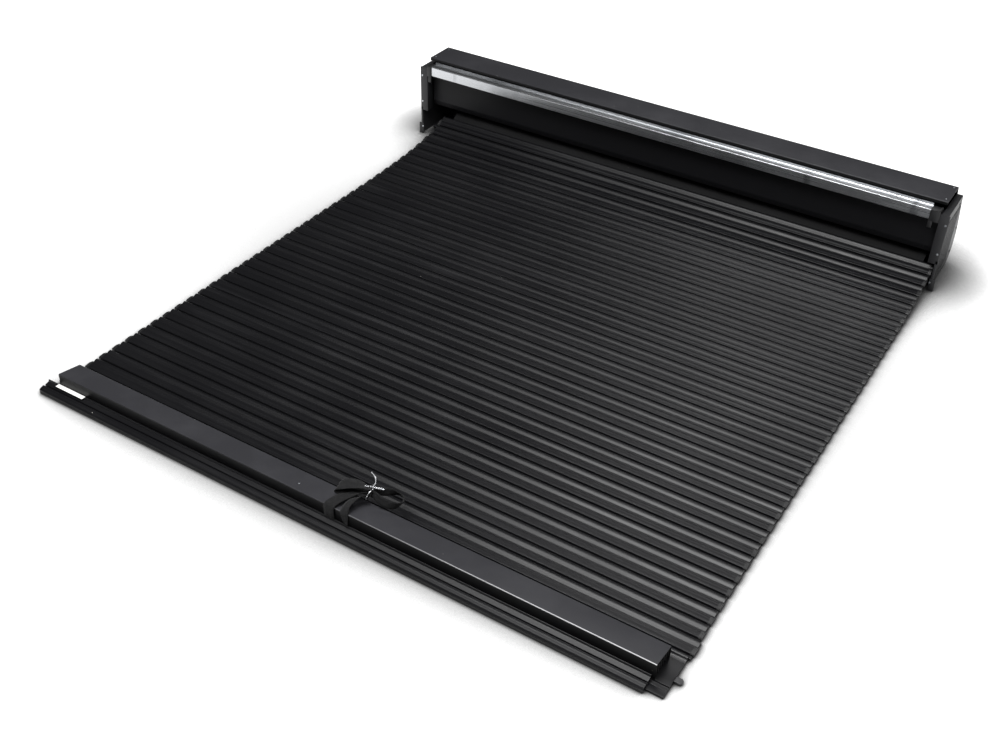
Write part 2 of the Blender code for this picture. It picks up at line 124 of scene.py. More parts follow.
def anodised(name, colour, rubbed, roughness):
    material, tree, shader = new_material(name, Metallic=0.0, IOR=1.5,
                                          Specular_IOR_Level=ANODISED_SPECULAR)
    place = add(tree, "ShaderNodeTexCoord").outputs["Object"]
    drawn = add(tree, "ShaderNodeMapping", {"Vector": place, "Scale": (1.0, 1 / DIE_LINE, 1 / DIE_LINE)})
    lines = add(tree, "ShaderNodeTexNoise", {"Vector": drawn, "Scale": 1.0, "Detail": 2.0})
    patches = add(tree, "ShaderNodeTexNoise", {"Vector": place, "Scale": 4.0, "Detail": 4.0})
    streaked = add(tree, "ShaderNodeMapping", {"Vector": place, "Scale": (3.0, 60.0, 60.0)})
    rubs = add(tree, "ShaderNodeTexNoise", {"Vector": streaked, "Scale": 1.0, "Detail": 4.0,
                                            "Roughness": 0.6})
    worn = add(tree, "ShaderNodeMapRange", {"Value": rubs, "From Min": 0.55, "From Max": 0.75})
    specks = add(tree, "ShaderNodeTexVoronoi", {"Vector": place, "Scale": 1 / DUST_SPACING,
                                                "Randomness": 1.0}).outputs["Distance"]
    dusty = add(tree, "ShaderNodeMapRange", {"Value": specks, "From Min": 0.010, "From Max": 0.022,
                                             "To Min": 1.0, "To Max": 0.0})
    clouds = add(tree, "ShaderNodeTexNoise", {"Vector": place, "Scale": 7.0, "Detail": 1.0})
    sparse = add(tree, "ShaderNodeMapRange", {"Value": clouds, "From Min": 0.56, "From Max": 0.6,
                                              "To Max": 0.9})
    dust = add(tree, "ShaderNodeMath", {0: dusty, 1: sparse}, operation="MULTIPLY")
    base = add(tree, "ShaderNodeMix", {0: worn, 6: linear(colour), 7: linear(rubbed)}, data_type="RGBA")
    dusted = add(tree, "ShaderNodeMix", {0: dust, 6: base.outputs[2], 7: linear(DUST)}, data_type="RGBA")
    satin = add(tree, "ShaderNodeMapRange", {"Value": patches, "From Min": 0.3, "From Max": 0.7,
                                             "To Min": roughness - 0.05, "To Max": roughness + 0.06})
    scuffs = add(tree, "ShaderNodeMapRange", {"Value": rubs, "From Min": 0.3, "From Max": 0.8,
                                              "To Max": 0.08})
    scuffed = add(tree, "ShaderNodeMath", {0: satin, 1: scuffs}, operation="ADD")
    finish_surface(tree, shader, dusted, scuffed, lines, 0.00005, 0.5)
    return material


slat_black = anodised("black anodised slat", SLAT_BLACK, RUBBED_BLACK, 0.31)


def arc(y, z, radius, start_deg, end_deg, count):
    """Points on an arc, both ends included."""
    step = math.radians(end_deg - start_deg) / (count - 1)
    angles = [math.radians(start_deg) + step * i for i in range(count)]
    return [(y + radius * math.cos(a), z + radius * math.sin(a)) for a in angles]


def spline(points, steps):
    """A smooth curve through points of any dimension."""
    points = [Vector(p) for p in points]
    ends = [2 * points[0] - points[1], *points, 2 * points[-1] - points[-2]]
    curve = []
    for a, b, c, d in zip(ends, ends[1:], ends[2:], ends[3:]):
        for i in range(steps):
            t = i / steps
            curve.append(0.5 * (2 * b + (c - a) * t + (2 * a - 5 * b + 4 * c - d) * t * t
                                + (3 * b - a - 3 * c + d) * t ** 3))
    return curve + [points[-1]]


def slat_outline(pitch):
    """From the ball at (-pitch, 0) along the underside to the socket at (0, 0) and back over the top."""
    ball = arc(-pitch, 0, BALL_R, 18, 342, 18)
    foot = [(-pitch + 0.0045, -0.00075), (-pitch + 0.0050, -0.0032), (-pitch + 0.0062, -0.0047),
            (-pitch + 0.0075, -SOCKET_FLOOR)]
    arm = [(0.0032, -SOCKET_FLOOR), (0.0039, -0.0045), (0.0040, -0.0027)]
    socket = arc(0, 0, SOCKET_R, 334, 46, 14)
    bead = [(0.0026, 0.0026), (0.0022, 0.0044), *arc(-0.0036, 0.001, BEAD_R, 58, 105, 8)]
    top = spline([(-0.0078, 0.0058), (-0.0100, 0.0046), (-0.0126, 0.0033), (-0.0162, 0.0028),
                  (-pitch + 0.0215, 0.0034), (-pitch + 0.0185, 0.0034), (-pitch + 0.0145, 0.0028),
                  (-pitch + 0.0120, 0.0030), (-pitch + 0.0102, 0.0028),
                  (-pitch + GROOVE_REAR, 0.0014)], 4)
    groove = [(-pitch + 0.0088, -0.0032), (-pitch + 0.0062, -0.0030), (-pitch + 0.0058, 0.00075)]
    return ball + foot + arm + socket + bead + [tuple(p) for p in top] + groove


def new_group(name, **sockets):
    """A geometry node group with its named inputs, as (tree, their sockets)."""
    tree = bpy.data.node_groups.new(name, "GeometryNodeTree")
    for socket, kind in sockets.items():
        tree.interface.new_socket(socket, in_out="INPUT", socket_type=f"NodeSocket{kind}")
    tree.interface.new_socket("Geometry", in_out="OUTPUT", socket_type="NodeSocketGeometry")
    return tree, add(tree, "NodeGroupInput").outputs


def end_group(tree, geometry, finish):
    """Make a group's geometry real, give it its material and put it out."""
    real = add(tree, "GeometryNodeRealizeInstances", {"Geometry": geometry})
    painted = add(tree, "GeometryNodeSetMaterial", {"Geometry": real, "Material": finish})
    add(tree, "NodeGroupOutput", {0: painted})
    return tree


def extrusion_nodes():
    """Nodes that draw the faces of a mesh out along X, then tilt and place them."""
    tree, given = new_group("drawn section", Outline="Geometry", Start="Float", Length="Float",
                            Tilt="Float", Place="Vector", Finish="Material")
    start = add(tree, "ShaderNodeCombineXYZ", {"X": given["Start"]})
    first = add(tree, "GeometryNodeTransform", {"Geometry": given["Outline"], "Translation": start})
    drawn = add(tree, "GeometryNodeExtrudeMesh", {"Mesh": first, "Offset": (1.0, 0.0, 0.0),
                                                  "Offset Scale": given["Length"],
                                                  "Individual": False}, mode="FACES")
    back = add(tree, "GeometryNodeFlipFaces", {"Mesh": first})
    both = add(tree, "GeometryNodeJoinGeometry")
    tree.links.new(back.outputs[0], both.inputs[0])
    tree.links.new(drawn.outputs["Mesh"], both.inputs[0])
    closed = add(tree, "GeometryNodeMergeByDistance", {"Geometry": both, "Distance": 0.000001})
    turn = add(tree, "ShaderNodeCombineXYZ", {"X": given["Tilt"]})
    placed = add(tree, "GeometryNodeTransform", {"Geometry": closed, "Translation": given["Place"],
                                                 "Rotation": turn})
    return end_group(tree, placed, given["Finish"])


def link(name, mesh):
    piece = bpy.data.objects.new(name, mesh)
    bpy.context.scene.collection.objects.link(piece)
    return piece


def settle(piece, smooth_deg=35):
    """Turn a piece with live modifiers into a plain mesh with its creases kept."""
    graph = bpy.context.evaluated_depsgraph_get()
    mesh = bpy.data.meshes.new_from_object(piece.evaluated_get(graph))
    piece.modifiers.clear()
    piece.data = mesh
    mesh.shade_smooth()
    mesh.set_sharp_from_angle(angle=math.radians(smooth_deg))
    return piece


def grow(name, base, tree, **values):
    """Run a node tree over a mesh, with its named inputs set, and keep the result as a plain mesh."""
    piece = link(name, base)
    modifier = piece.modifiers.new(tree.name, "NODES")
    modifier.node_group = tree
    for item in tree.interface.items_tree:
        if item.item_type == "SOCKET" and item.in_out == "INPUT" and item.name in values:
            modifier[item.identifier] = values[item.name]
    return settle(piece)


def faces_mesh(name, outlines):
    """A mesh of flat faces from (x, outline) pairs, facing +X."""
    bm = bmesh.new()
    for x, outline in outlines:
        bm.faces.new([bm.verts.new((x, y, z)) for y, z in outline])
    mesh = bpy.data.meshes.new(name)
    bm.to_mesh(mesh)
    bm.free()
    return mesh


def ride_as(piece, body, slot, *nodes):
    """Attach the piece to the body that carries it, and hide the nodes it stands for. The slot is not used.
    """
    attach(piece, body)
    if nodes:
        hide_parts(*nodes)
    return piece


drawn_section = extrusion_nodes()
knuckles = {joint["child"]: Vector(joint["pos_m"]) for joint in frame["joints"] if "pos_m" in joint}
SLATS = [f"slat_{number:02d}" for number in range(1, 37)]
slat_places = {}
for slat, before in zip(SLATS, ["bar", *SLATS]):
    low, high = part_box(slat)
    socket, ball = knuckles[slat], knuckles[before]
    pitch = (socket - ball).length
    tilt = math.atan2(socket.z - ball.z, socket.y - ball.y)
    slat_places[slat] = (socket, pitch, tilt, low.x, high.x)
    section = faces_mesh(slat, [(0.0, slat_outline(pitch))])
    piece = grow(f"{slat}_extrusion", section, drawn_section, Start=low.x, Length=high.x - low.x,
                 Tilt=tilt, Place=(0.0, socket.y, socket.z), Finish=slat_black)
    ride_as(piece, slat, "black_extrusion", slat)

# ---- slat end caps ----
# A moulded nylon cap plugs each end of a slat. On the left it stands out as a tongue that runs in
# the side rail, and on the right it is nearly flush. Nylon is dark, with a dull sheen and grain.
NYLON_BLACK = "#161617"
CAP_OUT_LEFT, CAP_OUT_RIGHT, CAP_DEPTH = 0.0055, 0.0015, 0.0075
GRAIN = 0.0012


def moulded(name, colour, roughness, grain=GRAIN):
    material, tree, shader = new_material(name, Metallic=0.0, IOR=1.5)
    place = add(tree, "ShaderNodeTexCoord").outputs["Object"]
    pebble = add(tree, "ShaderNodeTexNoise", {"Vector": place, "Scale": 1 / grain, "Detail": 2.0})
    broad = add(tree, "ShaderNodeTexNoise", {"Vector": place, "Scale": 12.0, "Detail": 3.0})
    tint = add(tree, "ShaderNodeMapRange", {"Value": broad, "From Min": 0.3, "From Max": 0.7,
                                            "To Max": 0.35})
    lighter = [min(1.0, c * 1.9) for c in linear(colour)[:3]] + [1.0]
    base = add(tree, "ShaderNodeMix", {0: tint, 6: linear(colour), 7: lighter}, data_type="RGBA")
    sheen = add(tree, "ShaderNodeMapRange", {"Value": broad, "From Min": 0.2, "From Max": 0.8,
                                             "To Min": roughness - 0.06, "To Max": roughness + 0.08})
    finish_surface(tree, shader, base, sheen, pebble, 0.00012, 0.6)
    return material


nylon = moulded("black moulded nylon", NYLON_BLACK, 0.42)


def cap_outline(pitch):
    top = spline([(-0.0105, 0.0022), (-pitch / 2 + 0.002, 0.0044), (-pitch + 0.0100, 0.0028)], 5)
    return [(-pitch + 0.0085, 0.0012), (-pitch + 0.0085, -0.0032), (-pitch + 0.0100, -0.0044),
            (-0.0100, -0.0044), (-0.0082, -0.0030), (-0.0082, 0.0008), *[tuple(p) for p in top]]


for slat, (socket, pitch, tilt, left, right) in slat_places.items():
    outline = cap_outline(pitch)
    pair = faces_mesh("caps", [(left - CAP_OUT_LEFT, outline),
                               (right + CAP_OUT_RIGHT - CAP_DEPTH, outline)])
    caps = grow(f"{slat}_end_caps", pair, drawn_section, Length=CAP_DEPTH, Tilt=tilt,
                Place=(0.0, socket.y, socket.z), Finish=nylon)
    ride_as(caps, slat, "black_plastic")

# ---- leading bar: base plate ----
# A wide aluminium extrusion that the latch bolts run in. Its flat ledge shows in front of the beam
# and past the beam's right end, and its rear edge carries the first knuckle.
PLATE_EDGE_R = 0.0006
BEAM_FRONT, BEAM_REAR = 0.033, 0.0945


def fillet(outline, radius, steps=4, only=None):
    """Round an outline's corners, all of them or those at the given places in the list."""
    rounded = []
    count = len(outline)
    for i, corner in enumerate(outline):
        here, before, after = Vector(corner), Vector(outline[i - 1]), Vector(outline[(i + 1) % count])
        if only is not None and i not in only:
            rounded.append(corner)
            continue
        a, b = (before - here).normalized(), (after - here).normalized()
        half = math.acos(max(-1.0, min(1.0, a.dot(b)))) / 2
        cut = min(radius / math.tan(half), 0.45 * (before - here).length, 0.45 * (after - here).length)
        start, end = here + a * cut, here + b * cut
        for k in range(steps + 1):
            t = k / steps
            rounded.append(tuple((1 - t) ** 2 * start + 2 * t * (1 - t) * here + t * t * end))
    return rounded


def stock(name, outline, x0, x1, material, hole=None, smooth_deg=35):
    """A piece of bar or sheet: an outline, with an optional hole, drawn from x0 to x1."""
    bm = bmesh.new()
    rings = [[bm.verts.new((x0, y + FRONT, z)) for y, z in ring] for ring in (outline, hole) if ring]
    if hole:
        edges = [bm.edges.new((ring[i - 1], ring[i])) for ring in rings for i in range(len(ring))]
        bmesh.ops.triangle_fill(bm, edges=edges, use_beauty=True)
    else:
        bm.faces.new(rings[0])
    grown = bmesh.ops.extrude_face_region(bm, geom=bm.faces[:])
    moved = [v for v in grown["geom"] if isinstance(v, bmesh.types.BMVert)]
    bmesh.ops.translate(bm, verts=moved, vec=(x1 - x0, 0, 0))
    bmesh.ops.recalc_face_normals(bm, faces=bm.faces[:])
    mesh = bpy.data.meshes.new(name)
    bm.to_mesh(mesh)
    bm.free()
    mesh.materials.append(material)
    mesh.shade_smooth()
    mesh.set_sharp_from_angle(angle=math.radians(smooth_deg))
    return link(name, mesh)


plate_low, plate_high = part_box("base_plate")
bar_axis = knuckles["bar"]
hinge_y, hinge_z = bar_axis.y - FRONT, bar_axis.z
plate_bead = [(hinge_y + y, hinge_z + z) for y, z in
              [(0.0032, -SOCKET_FLOOR), (0.0039, -0.0045), (0.0040, -0.0027),
               *arc(0, 0, SOCKET_R, 334, 46, 14), *arc(-0.002, 0.001, BEAD_R, 26, 152, 16),
               (-0.0105, 0.0022)]]
ledge = fillet([(0.0095, 0.0), (0.0096, 0.005), (0.0240, 0.005), (0.0243, 0.0046), (0.0252, 0.0046),
                (0.0255, 0.005), (0.0327, 0.005), (0.033, 0.009), (0.0945, 0.009), (0.0957, 0.006)],
               PLATE_EDGE_R, 2)
plate_outline = [ledge[0], *plate_bead, *reversed(ledge[1:])]
cam_low, cam_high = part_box("latch_cam")
CAM_R, POCKET_HALF = 0.017, 0.0375
cam_x, cam_y = (cam_low.x + cam_high.x) / 2, cam_high.y - CAM_R - FRONT
channel = [(cam_y - 0.007, 0.0018), (cam_y + 0.007, 0.0018), (cam_y + 0.007, 0.0075),
           (cam_y - 0.007, 0.0075)]
pocket = [(cam_y - 0.0205, 0.009), (cam_y - 0.0205, 0.0018), (cam_y + 0.021, 0.0018),
          (cam_y + 0.021, 0.009)]
front_of_pocket = [p for p in ledge[1:] if p[0] < 0.04]
rear_of_pocket = [p for p in ledge[1:] if p[0] > 0.04]
pocket_outline = [ledge[0], *plate_bead, *reversed(rear_of_pocket), *reversed(pocket),
                  *reversed(front_of_pocket)]
for side, x0, x1, outline, hole in (
        ("right", cam_x + POCKET_HALF, plate_high.x, plate_outline, channel),
        ("middle", cam_x - POCKET_HALF, cam_x + POCKET_HALF, pocket_outline, None),
        ("left", plate_low.x, cam_x - POCKET_HALF, plate_outline, channel)):
    part = stock(f"base_plate_{side}", outline, x0, x1, slat_black, hole)
    ride_as(part, "bar", "black_extrusion", *(["base_plate"] if side == "middle" else []))

# ---- leading bar: box beam ----
# A folded steel hat section, powder coated in charcoal, riveted over the base plate. Powder coat has
# an even satin gloss with a fine orange peel, and the folds are rounded.
COAT = "#2E2E31"
COAT_RUBBED = "#3A3A3D"
# Colour of the painted highlight along the beam's front fold.
FOLD_PAINTED_HIGHLIGHT = "#C4C4C6"
PEEL = 0.0022              # orange peel wavelength
FOLD_R = 0.0028
BEAM_WALL = 0.002
COAT_SPECULAR = 0.18
FOLD_WAY = (0.0, -0.78, 0.62)  # the way that the beam's front fold faces


def powder_coat(name, colour, rubbed, roughness, painted_shade_colour="#070708", painted_fold_highlight=None):
    """Faces that look up take the coat's colour, greyer where handling wears it; upright faces are painted a
    near-black colour as painted shade. Dust specks lie all over.

    A painted fold highlight, when given, lightens the folded edge that faces FOLD_WAY, more so toward +X.
    """
    material, tree, shader = new_material(name, Metallic=0.0, IOR=1.5, Specular_IOR_Level=COAT_SPECULAR)
    coords = add(tree, "ShaderNodeTexCoord").outputs
    place = coords["Object"]
    facing_up = add(tree, "ShaderNodeSeparateXYZ", {0: coords["Normal"]}).outputs["Z"]
    upward_not_painted_shade = add(tree, "ShaderNodeMapRange", {"Value": facing_up, "From Min": 0.1, "From Max": 0.8})
    peel = add(tree, "ShaderNodeTexNoise", {"Vector": place, "Scale": 1 / PEEL, "Detail": 2.0})
    cloud = add(tree, "ShaderNodeTexNoise", {"Vector": place, "Scale": 5.0, "Detail": 5.0,
                                             "Roughness": 0.6})
    handled = add(tree, "ShaderNodeMapRange", {"Value": cloud, "From Min": 0.45, "From Max": 0.75,
                                               "To Max": 0.8})
    specks = add(tree, "ShaderNodeTexVoronoi", {"Vector": place, "Scale": 1 / DUST_SPACING,
                                                "Randomness": 1.0}).outputs["Distance"]
    dusty = add(tree, "ShaderNodeMapRange", {"Value": specks, "From Min": 0.008, "From Max": 0.018,
                                             "To Min": 0.8, "To Max": 0.0})
    worn = add(tree, "ShaderNodeMix", {0: handled, 6: linear(colour), 7: linear(rubbed)},
               data_type="RGBA").outputs[2]
    # Painted shade: upright faces take the painted shade colour, and faces that look up keep the coat's own
    # colour.
    base = add(tree, "ShaderNodeMix", {0: upward_not_painted_shade, 6: linear(painted_shade_colour), 7: worn}, data_type="RGBA").outputs[2]
    # Painted highlight: the front-facing fold is lightened, more so toward +X.
    if painted_fold_highlight:
        facing = add(tree, "ShaderNodeVectorMath", {0: coords["Normal"], 1: FOLD_WAY},
                     operation="DOT_PRODUCT").outputs["Value"]
        along = add(tree, "ShaderNodeSeparateXYZ", {0: place}).outputs["X"]
        on_fold = add(tree, "ShaderNodeMapRange", {"Value": facing, "From Min": 0.86, "From Max": 0.97})
        rightward = add(tree, "ShaderNodeMapRange", {"Value": along, "From Min": 0.02, "From Max": 0.6})
        fold_highlight_mask = add(tree, "ShaderNodeMath", {0: on_fold, 1: rightward}, operation="MULTIPLY")
        base = add(tree, "ShaderNodeMix", {0: fold_highlight_mask, 6: base, 7: linear(painted_fold_highlight)},
                   data_type="RGBA").outputs[2]
    dusted = add(tree, "ShaderNodeMix", {0: dusty, 6: base, 7: linear(DUST)}, data_type="RGBA")
    satin = add(tree, "ShaderNodeMapRange", {"Value": cloud, "From Min": 0.25, "From Max": 0.75,
                                             "To Min": roughness - 0.05, "To Max": roughness + 0.07})
    finish_surface(tree, shader, dusted, satin, peel, 0.00004, 0.5)
    return material


# This coat paints the housing's upright faces near black as shade.
charcoal_coat = powder_coat("charcoal powder coat", COAT, COAT_RUBBED, 0.36)


def bent_sheet(path, thickness, radius, folds=None, steps=6):
    """A closed outline for folded sheet: the path, rounded at its folds, and back along its offset.

    The folds are given by their places in the path, and are every inner point unless stated.
    """
    folds = folds or range(1, len(path) - 1)
    points = [Vector(p) for p in fillet(path, radius, steps, only=folds)]
    normals = []
    for a, b in zip(points, points[1:]):
        along = (b - a).normalized()
        normals.append(Vector((-along.y, along.x)))
    back = []
    for i, point in enumerate(points):
        before, after = normals[max(i - 1, 0)], normals[min(i, len(normals) - 1)]
        mitre = (before + after).normalized()
        back.append(point + mitre * (thickness / mitre.dot(after)))
    return [tuple(p) for p in points] + [tuple(p) for p in reversed(back)]


beam_low, beam_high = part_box("box_beam")
BEAM_BOTTOM, BEAM_TOP, BEAM_REAR_TOP = beam_low.z, beam_high.z, 0.039
beam_path = [(BEAM_REAR, BEAM_BOTTOM), (BEAM_REAR, BEAM_REAR_TOP), (BEAM_FRONT, BEAM_TOP),
             (BEAM_FRONT, BEAM_BOTTOM)]
# The beam's coat carries a painted highlight along its front fold, brighter toward +X, and painted shade on
# its upright faces.
beam_coat = powder_coat("charcoal beam coat", COAT, COAT_RUBBED, 0.36, painted_fold_highlight=FOLD_PAINTED_HIGHLIGHT)
beam = stock("box_beam_hat", bent_sheet(beam_path, BEAM_WALL, FOLD_R), beam_low.x, beam_high.x, beam_coat)
ride_as(beam, "bar", "housing_paint", "box_beam")


# Each end of the beam is stopped by a nylon plug, moulded with upright stiffening ribs.
PLUG_SETBACK, PLUG_DEPTH = 0.004, 0.012
RIB_COUNT, RIB_WIDTH = 6, 0.0024


def rib_nodes():
    """Nodes that stand a row of small upright ribs along a line, each a plain block."""
    tree, given = new_group("row of ribs", Geometry="Geometry", Count="Int", First="Vector",
                            Step="Vector", Size="Vector", Finish="Material")
    row = add(tree, "GeometryNodeMeshLine", {"Count": given["Count"], "Start Location": given["First"],
                                             "Offset": given["Step"]}, mode="OFFSET")
    block = add(tree, "GeometryNodeMeshCube", {"Size": given["Size"]})
    ribs = add(tree, "GeometryNodeInstanceOnPoints", {"Points": row, "Instance": block})
    return end_group(tree, ribs, given["Finish"])


rib_row = rib_nodes()
plug_outline = [(BEAM_REAR - 0.0025, BEAM_BOTTOM + 0.001), (BEAM_REAR - 0.0025, BEAM_REAR_TOP - 0.0035),
                (BEAM_FRONT + 0.0025, BEAM_TOP - 0.0045), (BEAM_FRONT + 0.0025, BEAM_BOTTOM + 0.001)]
for side, end, way in (("right", beam_high.x, -1), ("left", beam_low.x, 1)):
    x0, x1 = sorted((end + way * PLUG_SETBACK * 1.6, end + way * (PLUG_SETBACK + PLUG_DEPTH)))
    plug = stock(f"beam_plug_{side}", fillet(plug_outline, 0.002), x0, x1, nylon)
    ride_as(plug, "bar", "black_plastic")
    face = end + way * PLUG_SETBACK * 1.3
    step = (BEAM_REAR - BEAM_FRONT - 0.012) / (RIB_COUNT - 1)
    ribs = grow(f"beam_plug_ribs_{side}", bpy.data.meshes.new("ribs"), rib_row, Count=RIB_COUNT,
                First=(face, FRONT + BEAM_FRONT + 0.006, 0.0245), Step=(0.0, step, 0.0),
                Size=(0.0075, RIB_WIDTH, 0.021), Finish=nylon)
    ride_as(ribs, "bar", "black_plastic")

# ---- leading bar: front rail and bulb seal ----
# A second extrusion, anodised like the slats, snaps on in front of the beam. It has a round nose, a
# screw groove, a shelf and an upright lip, and a soft rubber bulb in its nose seals on the tailgate.
rail_low, rail_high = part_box("front_rail")
RAIL_EDGE_R = 0.0011
rail_outline = [(0.0092, 0.0053), (0.0324, 0.0053), (0.0324, 0.0205), (0.0302, 0.0205),
                (0.0290, 0.0160), (0.0194, 0.0140), (0.0182, 0.0100), (0.0155, 0.0100), (0.0145, 0.0150),
                (0.0105, 0.0146), (0.0095, 0.0139), (0.0040, 0.0130), (0.0008, 0.0098),
                (0.0008, 0.0068), (0.0092, 0.0068)]
rail = stock("front_rail_extrusion", fillet(rail_outline, RAIL_EDGE_R), rail_low.x, rail_high.x,
             slat_black)
ride_as(rail, "bar", "black_extrusion", "front_rail")

RUBBER = "#101011"
RUBBER_BLOOM = "#2A2A2A"


def cured_rubber(name, colour):
    material, tree, shader = new_material(name, Metallic=0.0, IOR=1.52)
    place = add(tree, "ShaderNodeTexCoord").outputs["Object"]
    bloom = add(tree, "ShaderNodeTexNoise", {"Vector": place, "Scale": 30.0, "Detail": 4.0})
    greyed = add(tree, "ShaderNodeMapRange", {"Value": bloom, "From Min": 0.4, "From Max": 0.8,
                                              "To Max": 0.5})
    base = add(tree, "ShaderNodeMix", {0: greyed, 6: linear(colour), 7: linear(RUBBER_BLOOM)},
               data_type="RGBA")
    dull = add(tree, "ShaderNodeMapRange", {"Value": bloom, "From Min": 0.3, "From Max": 0.7,
                                            "To Min": 0.5, "To Max": 0.7})
    pores = add(tree, "ShaderNodeTexNoise", {"Vector": place, "Scale": 1500.0, "Detail": 2.0})
    finish_surface(tree, shader, base, dull, pores, 0.00005, 0.5)
    return material


rubber = cured_rubber("black bulb rubber", RUBBER)
seal_low, seal_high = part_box("bulb_seal")
seal_y, seal_z = (seal_low.y + seal_high.y) / 2 - FRONT, (seal_low.z + seal_high.z) / 2
half_y, half_z = (seal_high.y - seal_low.y) / 2, (seal_high.z - seal_low.z) / 2
bulb = [[(seal_y + half_y * share * y, seal_z + half_z * share * z) for y, z in arc(0, 0, 1, 0, 345, 24)]
        for share in (1.0, 0.62)]
seal = stock("bulb_seal_tube", bulb[0], seal_low.x, seal_high.x, rubber, bulb[1], 50)
ride_as(seal, "bar", "seal_rubber", "bulb_seal")

# ---- latch ----
# Flat steel bolts, blackened, slide in the base plate and are drawn in by a cam that the strap pulls.
# Their rounded tips show at the ends of the bar.
BOLT_BLACK = "#1B1B1C"
ZINC = "#B9BCC0"


def worn_steel(name, colour, worn, roughness, metallic):
    material, tree, shader = new_material(name, Metallic=metallic)
    place = add(tree, "ShaderNodeTexCoord").outputs["Object"]
    stain = add(tree, "ShaderNodeTexNoise", {"Vector": place, "Scale": 60.0, "Detail": 4.0})
    rubbed = add(tree, "ShaderNodeMapRange", {"Value": stain, "From Min": 0.45, "From Max": 0.75})
    base = add(tree, "ShaderNodeMix", {0: rubbed, 6: linear(colour), 7: linear(worn)}, data_type="RGBA")
    polish = add(tree, "ShaderNodeMapRange", {"Value": stain, "From Min": 0.3, "From Max": 0.7,
                                              "To Min": roughness - 0.06, "To Max": roughness + 0.1})
    grain = add(tree, "ShaderNodeTexNoise", {"Vector": place, "Scale": 900.0, "Detail": 2.0})
    finish_surface(tree, shader, base, polish, grain, 0.00004, 0.4)
    return material


black_steel = worn_steel("blackened steel", BOLT_BLACK, "#3A3A3C", 0.4, 0.0)
zinc = worn_steel("zinc plated steel", ZINC, "#8E9196", 0.32, 1.0)


def dress(node, material, edge=0.0004):
    """Give a CAD node its finish and small rounded edges."""
    piece = frame["nodes"][node]
    piece.data.materials.clear()
    piece.data.materials.append(material)
    weld = piece.modifiers.new("weld", "WELD")
    weld.merge_threshold = 0.00001
    if edge:
        bevel = piece.modifiers.new("edges", "BEVEL")
        bevel.width = edge
        bevel.segments = 2
        bevel.limit_method = "ANGLE"
        bevel.angle_limit = math.radians(40)


dress("latch_bolt_right", black_steel, 0.0007)
dress("latch_bolt_left", black_steel, 0.0007)
dress("latch_cam", zinc)

# ---- canister ----
# The housing is folded from one steel sheet and powder coated: a flat top with a hem at the front, a
# sloping back and a rolled underside. A folded inner wall closes its front down to the mouth.
shell_low, shell_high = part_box("canister_shell")
SHEET = 0.002
TOP_Z = shell_high.z
back_roll = [(1.7655, 0.085), *arc(1.7225, 0.045, 0.043, 8, -70, 14), (1.722, 0.0)]
shell_path = [(1.614, 0.012), (1.620, 0.0), *reversed(back_roll), (1.7585, 0.110), (1.701, TOP_Z),
              (1.603, TOP_Z), (1.603, 0.236)]
shell_folds = (1, len(shell_path) - 4, len(shell_path) - 3, len(shell_path) - 2)
shell = stock("canister_housing", bent_sheet(shell_path, SHEET, 0.0035, shell_folds),
              shell_low.x, shell_high.x, charcoal_coat, smooth_deg=28)
ride_as(shell, "root", "housing_paint", "canister_shell")

wall_low, wall_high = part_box("front_wall")
WALL_Y = 1.606
wall_path = [(1.622, 0.086), (1.613, 0.091), (WALL_Y + 0.0005, 0.108), (WALL_Y, 0.222)]
# The wall's coat is a darker copy of the housing's charcoal, painted shade for the recess under the trim,
# and its upright faces take a further painted shade colour.
wall_coat_painted_shade = powder_coat("charcoal wall coat", "#1A1A1C", "#222224", 0.38, "#161618")
wall = stock("canister_front_wall", bent_sheet(wall_path, -SHEET, 0.003),
             wall_low.x, wall_high.x, wall_coat_painted_shade, smooth_deg=28)
ride_as(wall, "root", "housing_paint", "front_wall")

# ---- trim channel ----
# A bare mill-finish aluminium channel runs along the front of the canister. It is bright, with the
# fine drawn streaks of the mill and a few dull handling smears.
MILL = "#CFD1D4"
MILL_DULL = "#85888C"


def mill_aluminium(name):
    material, tree, shader = new_material(name, Metallic=1.0, Anisotropic=0.4)
    place = add(tree, "ShaderNodeTexCoord").outputs["Object"]
    drawn = add(tree, "ShaderNodeMapping", {"Vector": place, "Scale": (2.0, 900.0, 900.0)})
    streaks = add(tree, "ShaderNodeTexNoise", {"Vector": drawn, "Scale": 1.0, "Detail": 3.0})
    smears = add(tree, "ShaderNodeTexNoise", {"Vector": place, "Scale": 6.0, "Detail": 3.0,
                                              "Roughness": 0.6})
    slant = add(tree, "ShaderNodeMapping", {"Vector": place, "Rotation": (0.0, 0.6, 0.0),
                                            "Scale": (26.0, 4.0, 6.0)})
    rubs = add(tree, "ShaderNodeTexNoise", {"Vector": slant, "Scale": 1.0, "Detail": 3.0})
    smeared = add(tree, "ShaderNodeMapRange", {"Value": smears, "From Min": 0.5, "From Max": 0.72,
                                               "To Max": 0.6})
    rubbed = add(tree, "ShaderNodeMapRange", {"Value": rubs, "From Min": 0.6, "From Max": 0.72,
                                              "To Max": 0.7})
    dull = add(tree, "ShaderNodeMath", {0: smeared, 1: rubbed}, operation="MAXIMUM")
    base = add(tree, "ShaderNodeMix", {0: dull, 6: linear(MILL), 7: linear(MILL_DULL)}, data_type="RGBA")
    polish = add(tree, "ShaderNodeMapRange", {"Value": streaks, "From Min": 0.3, "From Max": 0.7,
                                              "To Min": 0.22, "To Max": 0.38})
    finish_surface(tree, shader, base, polish, streaks, 0.00002, 0.5)
    return material


bare_aluminium = mill_aluminium("mill finish aluminium")
trim_low, trim_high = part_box("trim_channel")
TRIM_Y = trim_low.y - FRONT
trim_path = [(TRIM_Y, 0.200), (TRIM_Y, 0.227), (1.6005, 0.227), (1.6005, 0.234)]
trim = stock("trim_channel_bare", bent_sheet(trim_path, -0.0022, 0.0016), trim_low.x, trim_high.x,
             bare_aluminium, smooth_deg=28)
ride_as(trim, "root", "bare_trim", "trim_channel")

